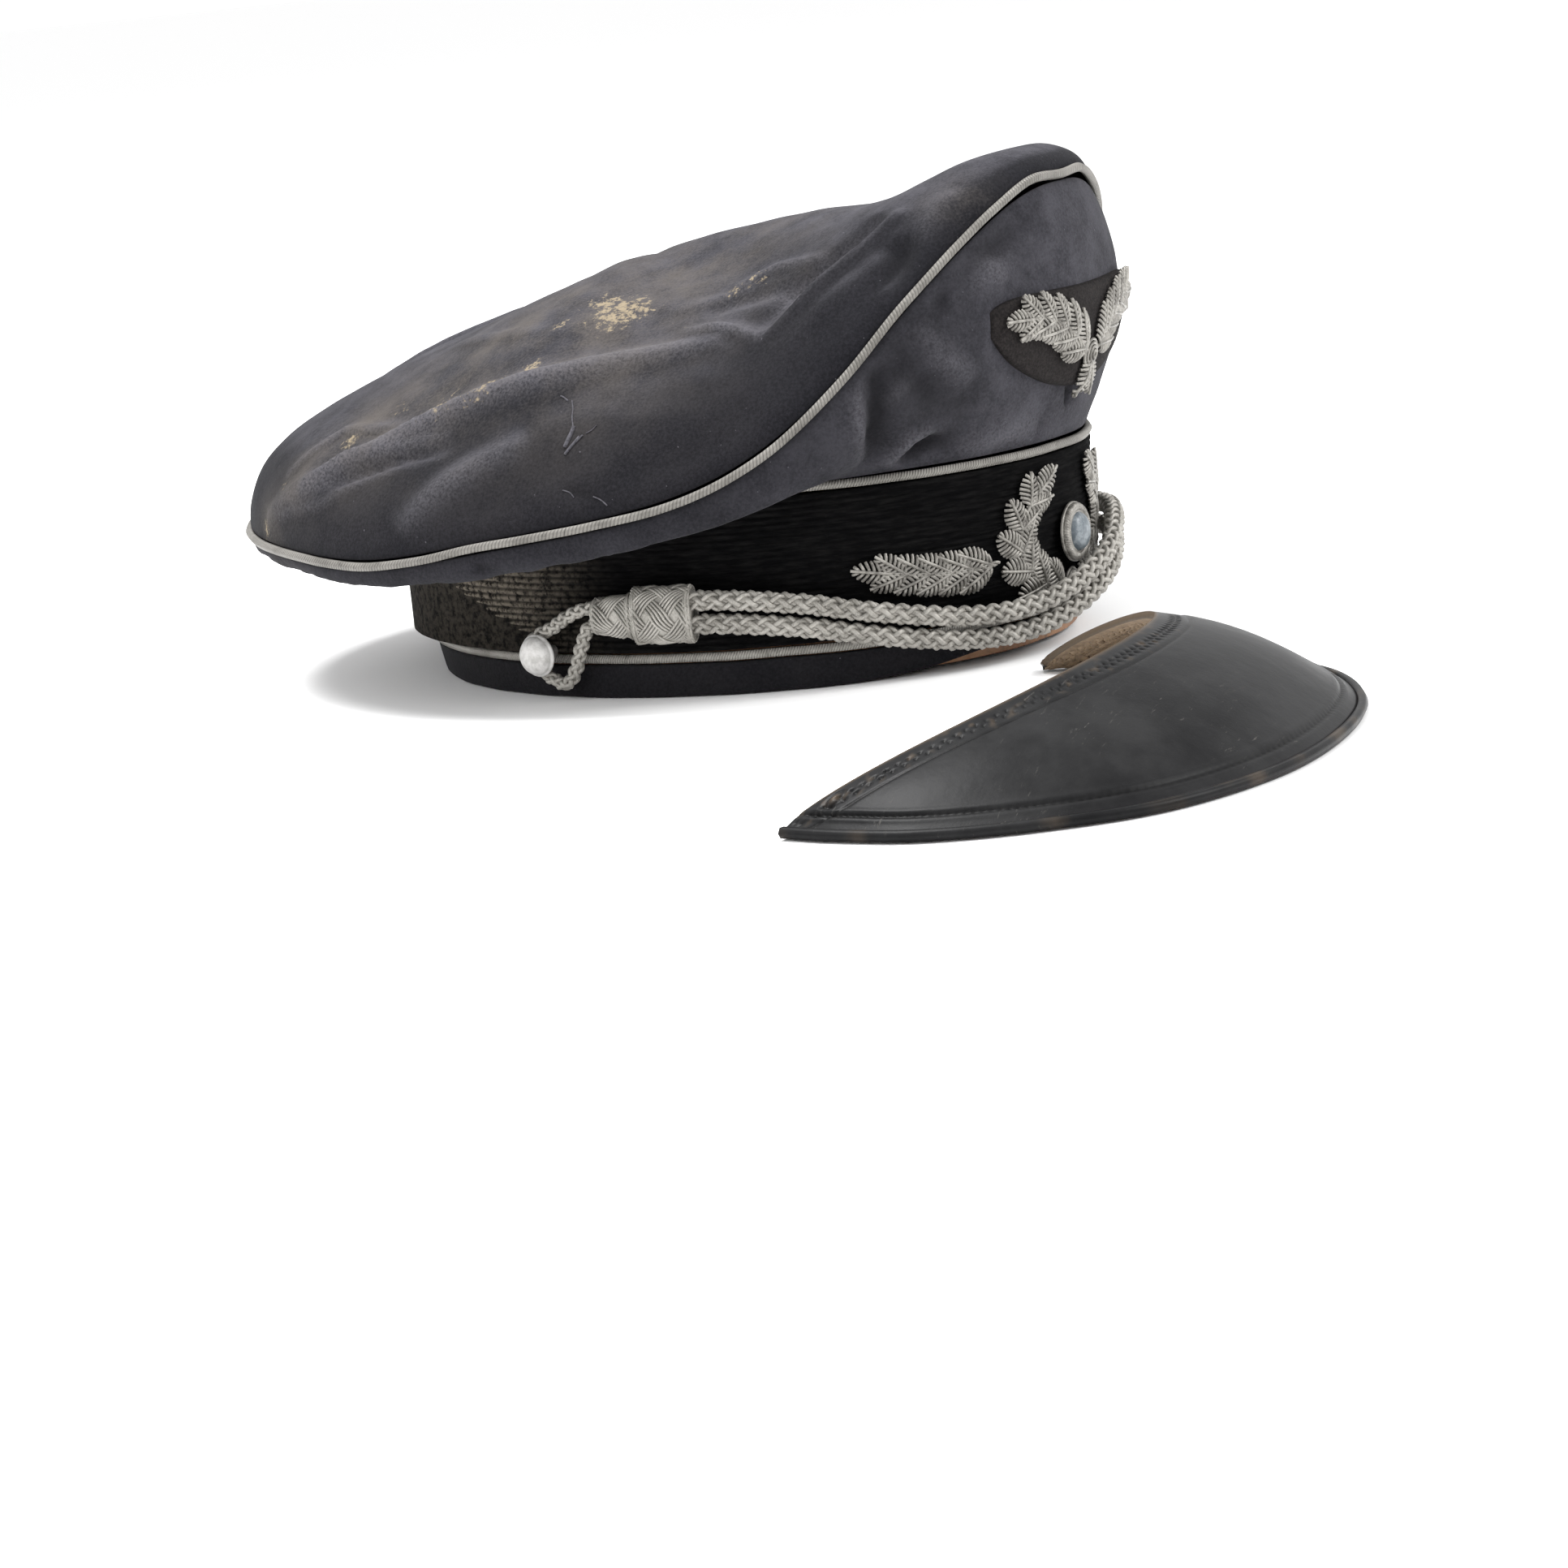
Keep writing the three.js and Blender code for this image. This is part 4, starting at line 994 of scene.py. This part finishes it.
smallSlide = {"carriers": 3, "threads": 6, "thread": 0.85, "crossing": 5.4, "weave": 0.45, "square": 0.85,
              "first": (3.7, 6.2), "last": (3.0, 4.6)}


def makeCord(piece, node, route, braid):
    line = smoothLine([offBand(*stop) for stop in route], braid["step"] * mm)
    radius = braid["across"] / 2 - braid["weave"] - braid["thread"] / 2
    threads = plaitThreads(line, steady(radius, radius), braid)
    core = 2 * (radius - braid["gap"]) * mm
    threads.append((line, core, 1))
    cord = addPiece(piece, threadMesh(node, threads, core), [silverCord, cordCore], [node])
    print(node, "is", round(lengthOf(line), 4), "m long")
    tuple(line[0])
    lengthOf(line)


def makeSlide(name, side, first, last, halves, braid):
    steps = 24
    route = [offBand(side * (first + (last - first) * k / steps), strap["lift"], strap["off"])
             for k in range(steps + 1)]
    line = smoothLine(route, 0.6 * mm)
    mesh = threadMesh(name, plaitThreads(line, halves, braid), braid["thread"] * mm)
    frames = framesOf(line)
    wraps = []
    for index in (0, 1, 2, -3, -2, -1):
        proud = 0.35 if index in (1, -2) else 0.05
        size = [half + proud for half in halves(0 if index >= 0 else 1)]
        ring = [onSection(frames[index], 2 * math.pi * k / 48, *size, braid["square"]) for k in range(48)]
        wraps.append((ring, braid["thread"] * mm, 0))
    rings = threadMesh(name + "_wraps", wraps, braid["thread"] * mm, closed=True)
    bm = sweptBody(line, lambda share: tuple(half - 0.3 for half in halves(share)), braid["square"])
    for face in bm.faces:
        face.material_index = 1
    bm.from_mesh(mesh)
    bm.from_mesh(rings)
    addPiece(name + "_weave", meshOf(bm, name), [silverCord, cordCore], [name])


def makeStrap():
    for word, side in (("upper", 1), ("lower", -1)):
        route = [(max(-strap["last"], min(strap["last"], at)), lift + side * strap["half"], off)
                 for at, lift, off in strapRoute]
        makeCord("chin_cord_" + word + "_braid", "chin_cord_" + word, route, strandBraid)
    for word, side in (("right", 1), ("left", -1)):
        route = [(side * (strap["slideEnd"] + at), lift, off) for at, lift, off in loopRoute]
        makeCord("button_loop_braid_" + word, "button_loop_" + word, route, loopBraid)
        makeSlide("big_slide_" + word, side, strap["slideAt"], strap["slideEnd"],
                  steady(bigSlide["out"], bigSlide["across"]), bigSlide)
        makeSlide("small_slide_" + word, side, strap["slideEnd"] + 0.4, strap["smallEnd"],
                  tapered(smallSlide["first"], smallSlide["last"]), smallSlide)


makeStrap()
print("chin strap made")

buttonSize = {"at": 101.2, "lift": 14, "radius": 6.25, "head": 7.45, "dome": 4.6, "shank": 1.8, "foot": 1.0}


# Turns flat work, its Z off the band, into place on the band
def seatOnBand(at, lift, off):
    out = bandNormal(at)
    up = Vector((0, 0, 1))
    return seatAt(offBand(at, lift, off), up.cross(out), up, out)


def spun(profile, steps):
    bm = bmesh.new()
    corners = [bm.verts.new((x * mm, 0, z * mm)) for x, z in profile]
    for first, second in zip(corners, corners[1:]):
        bm.edges.new((first, second))
    bmesh.ops.spin(bm, geom=bm.verts[:] + bm.edges[:], cent=(0, 0, 0), axis=(0, 0, 1), angle=2 * math.pi,
                   steps=steps, use_merge=True)
    bmesh.ops.remove_doubles(bm, verts=bm.verts, dist=0.005 * mm)
    bmesh.ops.recalc_face_normals(bm, faces=bm.faces)
    return bm


def makeButtons():
    size = buttonSize
    radius, head, dome = size["radius"], size["head"], size["dome"]
    profile = [(0, size["foot"]), (size["shank"], size["foot"]), (size["shank"], head),
               (radius - 0.7, head), (radius - 0.15, head + 0.15), (radius, head + 0.6),
               (radius - 0.25, head + 1.0), (radius - 0.6, head + 1.15)]
    for k in range(1, 13):
        turn = math.pi / 2 * k / 12
        profile.append(((radius - 0.6) * math.cos(turn), head + 1.1 + (dome - 1.1) * math.sin(turn)))
    for word, side in (("right", 1), ("left", -1)):
        bm = spun(profile, 48)
        bmesh.ops.transform(bm, matrix=seatOnBand(side * size["at"], size["lift"], 0), verts=bm.verts)
        node = "button_" + word
        addPiece(node + "_metal", meshOf(bm, "button"), [buttonMetal], [node])


makeButtons()
print("buttons made")

badgeSize = {
    "coil": 1.0,
    "leafLift": 0.8,
    "leafRise": 1.3,
    "bandLift": 33.6,
    "wreathWide": 25,
    "wreathTall": 18,
    "bossDrop": 1.9,
    "frondStart": 33,
    "frondLong": 31,
    "frondDrop": 5,
}
# Sprigs of leaves: pairs, their angle off the stem, and a leaf's length and width
wreathSprig = {"pairs": 6, "spread": 40, "long": 12.5, "wide": 8.5}
frondSprig = {"pairs": 5, "spread": 28, "long": 12.5, "wide": 6.6}
spraySprig = {"pairs": 5, "spread": 36, "long": 12.5, "wide": 6.4}


# Places flat work on the front of the band: x across, y up, z off it
def onBand(x, y, z):
    turn = math.degrees(2 / bandSize["width"])
    return offBand(-x * turn, badgeSize["bandLift"] + y, z)


crownSurface = treeOf(bpy.data.objects["crown_side_cloth"].data)
patchLift = middleOf("crown_patch").z / mm


# Places flat work on the front of the crown
def onCrown(x, y, z):
    start = atCap(x, -200, patchLift + y)
    hit, normal, index, away = crownSurface.ray_cast(start, Vector((0, 1, 0)))
    return hit + normal * z * mm


# One embroidered leaf: coils of wire laid from its middle rib out to its edge, and one along the rib
def leafThreads(place, x, y, heading, long, wide):
    turn = math.radians(heading)
    along = Vector((math.cos(turn), math.sin(turn)))
    across = Vector((-along.y, along.x))
    coils = max(4, round(long / 1.45))
    size = badgeSize
    threads = []

    def at(run, side, lift):
        spot = Vector((x, y)) + along * run + across * side
        return place(spot.x, spot.y, size["leafLift"] + lift)

    for side in (1, -1):
        for coil in range(coils):
            share = (coil + 0.5) / coils
            reach = wide / 2 * math.sin(math.pi * min(1, share * 0.86 + 0.14)) ** 0.7
            chain = []
            for k in range(5):
                step = k / 4
                run = long * (share * 0.86 + 0.12 * step)
                rise = size["leafRise"] * math.sin(math.pi * (0.25 + 0.7 * step))
                chain.append(at(run, side * (0.25 + reach * step), rise * (0.55 + 0.45 * reach / wide * 2)))
            threads.append((chain, size["coil"] * mm, 0))
    rib = []
    for k in range(6):
        bow = 0.75 + 0.35 * math.sin(math.pi * k / 5)
        rib.append(at(long * k / 5, 0, size["leafRise"] * bow))
    threads.append((rib, size["coil"] * mm, 0))
    return threads


def addWire(node, threads, kind="_wire", thickest=badgeSize["coil"], closed=False):
    mesh = threadMesh(node, threads, thickest * mm, closed)
    addPiece(node + kind, mesh, [silverWire], [node])


def stemThreads(line, place, steps=14):
    threads = []
    for phase in (0, math.pi):
        chain = []
        for k in range(steps * 3 + 1):
            share = k / (steps * 3)
            x, y = line(share)
            sway = 0.45 * math.sin(phase + share * steps * 2.6)
            lift = badgeSize["leafLift"] + 0.5 + 0.4 * math.cos(phase + share * 36)
            chain.append(place(x + sway * 0.5, y + sway, lift))
        threads.append((chain, badgeSize["coil"] * mm, 0))
    return threads


def sprigThreads(line, place, pairs, spread, long, wide):
    threads = stemThreads(line, place)
    for pair in range(pairs):
        share = (pair + 0.4) / pairs
        x, y = line(share)
        nextX, nextY = line(share + 0.02)
        heading = math.degrees(math.atan2(nextY - y, nextX - x))
        size = 1 - 0.22 * share
        for turn in (spread, -spread):
            threads += leafThreads(place, x, y, heading + turn, long * size, wide * size)
    x, y = line(1)
    lastX, lastY = line(0.96)
    heading = math.degrees(math.atan2(y - lastY, x - lastX))
    return threads + leafThreads(place, x, y, heading, long * 0.85, wide * 0.85)


def knotThreads(place, y, radius):
    threads = []
    for ring in range(4):
        size = radius * (1 - ring / 4)
        chain = [place(size * math.cos(turn * math.pi / 8), y + size * math.sin(turn * math.pi / 8),
                       badgeSize["leafLift"] + 0.5 + ring * 0.42) for turn in range(17)]
        threads.append((chain, badgeSize["coil"] * mm, 0))
    return threads


def makeWreath():
    size = badgeSize
    threads = []
    for side in (1, -1):
        def branch(share, side=side):
            turn = math.radians(-90 + side * (6 + 128 * share))
            return size["wreathWide"] * math.cos(turn), size["wreathTall"] * math.sin(turn)
        threads += sprigThreads(branch, onBand, **wreathSprig)
    threads += knotThreads(onBand, y=2 - size["wreathTall"], radius=3.4)
    addWire("band_wreath", threads)
    for word, side in (("right", -1), ("left", 1)):
        def line(share, side=side):
            x = side * (size["frondStart"] + size["frondLong"] * share)
            return x, -size["frondDrop"] - 3 * share + 5 * share ** 2
        addWire("frond_" + word, sprigThreads(line, onBand, **frondSprig))


bossSize = {"rim": 8.5, "dome": 5.6, "edge": 2.4, "rise": 2.7, "off": 1.1, "strand": 1.3, "twists": 22}


def makeBoss():
    size = bossSize
    rim, dome = size["rim"], size["dome"]
    seat = seatOnBand(0, badgeSize["bandLift"] - badgeSize["bossDrop"], size["off"])
    profile = [(0, 0), (dome + 0.2, 0), (dome + 0.2, size["edge"])]
    for k in range(1, 11):
        turn = math.pi / 2 * k / 10
        profile.append(((dome - 0.1) * math.cos(turn), size["edge"] + 0.2 + size["rise"] * math.sin(turn)))
    bm = spun(profile, 48)
    bmesh.ops.transform(bm, matrix=seat, verts=bm.verts)
    addPiece("boss_dome", meshOf(bm, "boss"), [bossPaint], ["boss"])
    threads = []
    middle = (rim + dome) / 2 + 0.1

    def onBoss(radius, turn, lift):
        return seat @ Vector((radius * math.cos(turn) * mm, radius * math.sin(turn) * mm, lift * mm))

    for phase in range(3):
        chain = []
        for k in range(240):
            turn = 2 * math.pi * k / 240
            twist = size["twists"] * turn + phase * 2 * math.pi / 3
            chain.append(onBoss(middle + 0.75 * math.cos(twist), turn, 1.7 + 0.75 * math.sin(twist)))
        threads.append((chain, size["strand"] * mm, 0))
    for radius, lift, thick in ((dome + 0.35, 2.3, 0.9), (rim - 0.15, 0.9, 1.1)):
        threads.append(([onBoss(radius, 2 * math.pi * k / 64, lift) for k in range(64)], thick * mm, 0))
    addWire("boss_rim", threads, "_rope", size["strand"], closed=True)


patchSize = {"halfLong": 43.5, "halfTall": 14.6, "bend": 8, "padding": 1.6, "wall": 0.9}


def makeCrownBadge():
    size = patchSize
    bm = bmesh.new()
    bmesh.ops.create_grid(bm, x_segments=90, y_segments=36, size=1)
    for vert in bm.verts:
        s, t = vert.co.x, vert.co.y
        reach = math.sqrt(1 - 0.94 * s * s)
        rim = max(0, 1 - max(abs(s), abs(t)))
        rise = size["padding"] * (1 - (1 - min(1, rim * 9)) ** 2)
        y = size["bend"] * (s * s - 0.5) + t * size["halfTall"] * reach
        vert.co = onCrown(s * size["halfLong"], y, 0.15 + rise)
    bmesh.ops.recalc_face_normals(bm, faces=bm.faces)
    if sum(face.normal.y for face in bm.faces) > 0:
        bmesh.ops.reverse_faces(bm, faces=bm.faces)
    mesh = meshOf(bm, "crown_patch")
    patch = addPiece("crown_patch_cloth", mesh, [patchCloth], ["crown_patch"])
    wall = patch.modifiers.new("wall", "SOLIDIFY")
    wall.thickness = size["wall"] * mm
    wall.offset = -1
    lift = middleOf("crown_spray").z / mm - patchLift

    def place(x, y, z):
        return onCrown(x, y + lift, z + 1.5)

    threads = []
    for side in (1, -1):
        def line(share, side=side):
            return side * (2.6 + 27 * share), -6.5 + 13 * math.sin(math.pi / 2 * share)
        threads += sprigThreads(line, place, **spraySprig)
    for heading in (-72, -108):
        threads += leafThreads(place, 0, -8, heading, long=11.5, wide=6.5)
    threads += knotThreads(place, y=-7, radius=4)
    addWire("crown_spray", threads)


makeWreath()
makeBoss()
makeCrownBadge()
print("badges made")

peakSize = {
    "span": 194,
    "depth": 50,
    "sagitta": 59,
    "wall": 2,
    "lift": 26,
    "dome": 4,
    "arch": 0.8,
    "tipGap": 1,
    "rim": 3,
    "rimGap": 0.9,
    "right": 148,
    "forward": 130,
    "turn": 7,
    "strip": 10.5,
    "holesAt": 6,
    "stitchAt": 4.6,
}
# Depths of the work pressed into the peak's top, in millimetres
pressed = {"ridge": 0.16, "stitch": 0.45, "dents": 0.25, "score": 0.4, "hole": 0.75, "strip": 0.25,
           "rivet": 0.5, "rivetRing": 0.35}
# Plan of its outer edge from tip to middle: share of half the span, then of the whole reach forward
peakRows = [(1, 1.03, -0.01), (0.88, 1.07, 0.13), (0.72, 1.08, 0.33), (0.54, 0.98, 0.57), (0.36, 0.78, 0.8),
            (0.18, 0.42, 0.955), (0, 0, 1)]
peakPlan = [(-s, -side, reach) for s, side, reach in peakRows] + peakRows[-2::-1]


def readPlan(value, column):
    rows = peakPlan
    index = 0
    while index < len(rows) - 2 and value > rows[index + 1][0]:
        index += 1

    def slope(k):
        if k == 0 or k == len(rows) - 1:
            return 0
        return (rows[k + 1][column] - rows[k - 1][column]) / (rows[k + 1][0] - rows[k - 1][0])

    span = rows[index + 1][0] - rows[index][0]
    t = (value - rows[index][0]) / span
    first = (2 * t ** 3 - 3 * t * t + 1) * rows[index][column]
    second = (3 * t * t - 2 * t ** 3) * rows[index + 1][column]
    leaving = (t ** 3 - 2 * t * t + t) * span * slope(index)
    arriving = (t ** 3 - t * t) * span * slope(index + 1)
    return first + leaving + second + arriving


peakSeat = Matrix.Translation(atCap(-peakSize["right"], -peakSize["forward"], 0)) @ Matrix.Rotation(
    math.radians(peakSize["turn"]), 4, "Z")


# The peak's middle surface in its own frame: s from tip to tip, t from its inner to its outer edge
def peakPoint(s, t):
    size = peakSize
    s = min(max(s, -1), 1)
    half = size["span"] / 2
    radius = (half * half + size["sagitta"] ** 2) / (2 * size["sagitta"])
    turn = s * math.atan2(half, radius - size["sagitta"])
    raised = size["lift"] * (1 - s * s) ** size["arch"]
    inner = Vector((radius * math.sin(turn), radius - size["sagitta"] - radius * math.cos(turn),
                    size["rim"] / 2 + size["tipGap"] + raised))
    reach = size["sagitta"] + size["depth"]
    outer = Vector((half * readPlan(s, 1), -reach * readPlan(s, 2), size["rim"] / 2))
    place = inner.lerp(outer, t)
    place.z += size["dome"] * math.sin(math.pi * t) * (1 - s * s)
    return place


def bell(value, middle, reach):
    return math.exp(-((value - middle) / reach) ** 2)


def makePeak():
    size = peakSize
    across, deep = 460, 66
    bm = bmesh.new()
    bmesh.ops.create_grid(bm, x_segments=across, y_segments=deep, size=1)
    groove = bm.verts.layers.float.new("groove")
    worn = bm.verts.layers.float.new("worn")
    press = {}
    run = {}
    gone = 0.0
    before = None
    for k in range(across + 1):
        spot = peakPoint(2 * k / across - 1, 0.15)
        gone += (spot - before).length if before else 0
        before = spot
        run[k] = gone
    for vert in bm.verts:
        s, t = vert.co.x, (vert.co.y + 1) / 2
        wide = (peakPoint(s, 1) - peakPoint(s, 0)).length
        fromIn, fromOut = t * wide, (1 - t) * wide
        along = run[round((s + 1) / 2 * across)]
        tips = min(1, (1 - abs(s)) * 14)
        score = bell(fromIn, size["strip"], 0.45) * tips
        ragged = 0.6 + 0.4 * noise.noise(Vector((along * 0.21, 0, 3)))
        hole = 0.0
        for offset, shift in ((0, 0), (1.9, 1.4)):
            near = ((along + shift + 0.5 * noise.noise(Vector((along * 0.1, offset, 0)))) % 3.1) - 1.55
            hole += bell(near, 0, 0.55) * bell(fromIn, size["holesAt"] + offset - 0.9, 0.6)
        hole = min(1, hole * ragged * 1.4) * tips
        dent = 0.5 + 0.5 * math.cos(2 * math.pi * along / 1.7)
        stitch = bell(fromOut, size["stitchAt"], 0.5) * tips
        beside = bell(fromOut, size["stitchAt"] - 1.4, 0.7) + bell(fromOut, size["stitchAt"] + 1.4, 0.7)
        rivet = math.hypot(along - 13, fromIn - 4.5)
        strip = 1 - 1 / (1 + math.exp(-(fromIn - size["strip"]) * 3))
        depth = stitch * (pressed["stitch"] + pressed["dents"] * dent) + pressed["score"] * score
        depth += pressed["hole"] * hole + pressed["strip"] * strip
        rise = pressed["ridge"] * beside * tips + pressed["rivet"] * bell(rivet, 0, 1.5)
        press[vert] = rise - pressed["rivetRing"] * bell(rivet, 2.4, 0.5) - depth
        # Painted shade in the score line, stitch line and needle holes
        vert[groove] = min(1, score * 0.9 + stitch * (0.55 + 0.4 * dent) + hole)
        edge = bell(fromIn, 0, 0.8) * 0.6 + bell(rivet, 0, 1.1) * 0.5
        vert[worn] = min(1, edge + max(0, noise.noise(Vector((along * 0.35, fromIn * 0.3, 9))) - 0.28)
                         * 0.9 * bell(fromIn, 5, 4))
        vert.co = peakPoint(s, t) * mm
    bm.normal_update()
    if sum(face.normal.z for face in bm.faces) < 0:
        bmesh.ops.reverse_faces(bm, faces=bm.faces)
        bm.normal_update()
    moved = {vert: vert.co + vert.normal * (size["wall"] / 2 + lift) * mm for vert, lift in press.items()}
    for vert, place in moved.items():
        vert.co = place
    bmesh.ops.transform(bm, matrix=peakSeat, verts=bm.verts)
    peak = addPiece("peak_board", meshOf(bm, "peak"), [lacquer, underside], ["peak"])
    wall = peak.modifiers.new("wall", "SOLIDIFY")
    wall.thickness = size["wall"] * mm
    wall.offset = -1
    wall.material_offset = 1
    bead = []
    for k in range(161):
        s = 2 * k / 160 - 1
        spot = peakPoint(s, 1)
        way = peakPoint(s + 0.01, 1) - peakPoint(s - 0.01, 1)
        out = Vector((way.y, -way.x, 0)).normalized()
        place = spot + out * (size["rim"] / 2 + size["rimGap"] - 0.7)
        place.z = size["rim"] / 2 + 0.05
        bead.append(peakSeat @ (place * mm))
    mesh = threadMesh("peak_rim", [(bead, (size["rim"] + 0.1) * mm, 0)], (size["rim"] + 0.1) * mm)
    paintEvenly(mesh, groove=0)
    paint(mesh, "worn", np.clip(wander(pointsOf(mesh), 110) * 0.5 - 0.06, 0, 1))
    addPiece("peak_rim_bead", mesh, [lacquer], ["peak_rim"])


makePeak()
print("peak made")


def makeStage():
    bm = bmesh.new()
    bmesh.ops.create_grid(bm, x_segments=1, y_segments=1, size=30)
    bmesh.ops.translate(bm, verts=bm.verts, vec=(0, 0, -0.0003))
    floor = addObject("floor", meshOf(bm, "floor"))
    paper = Finish("floor", {"Base Color": (0.94, 0.94, 0.94, 1), "Roughness": 0.9})
    floor.data.materials.append(paper.material)
    world = bpy.data.worlds.new("studio")
    world.use_nodes = True
    world.node_tree.nodes["Background"].inputs["Color"].default_value = (1, 1, 1, 1)
    world.node_tree.nodes["Background"].inputs["Strength"].default_value = 1.05
    bpy.context.scene.world = world
    bpy.context.scene.view_settings.view_transform = "Standard"
    lamps = [
        {"name": "key", "place": (0.5, -1.5, 1.3), "size": 0.9, "power": 28},
        {"name": "fill", "place": (-1.5, 1.2, 1.2), "size": 0.8, "power": 8},
        {"name": "top", "place": (-0.1, 0.5, 1.9), "size": 0.8, "power": 60},
    ]
    for lamp in lamps:
        data = bpy.data.lights.new(lamp["name"], "AREA")
        data.size = lamp["size"]
        data.energy = lamp["power"]
        light = addObject(lamp["name"], data)
        light.location = lamp["place"]
        aim = Vector((0, 0, 0.06)) - Vector(lamp["place"])
        light.rotation_euler = aim.to_track_quat("-Z", "Y").to_euler()


placeCamera()
makeStage()
print("stage made")
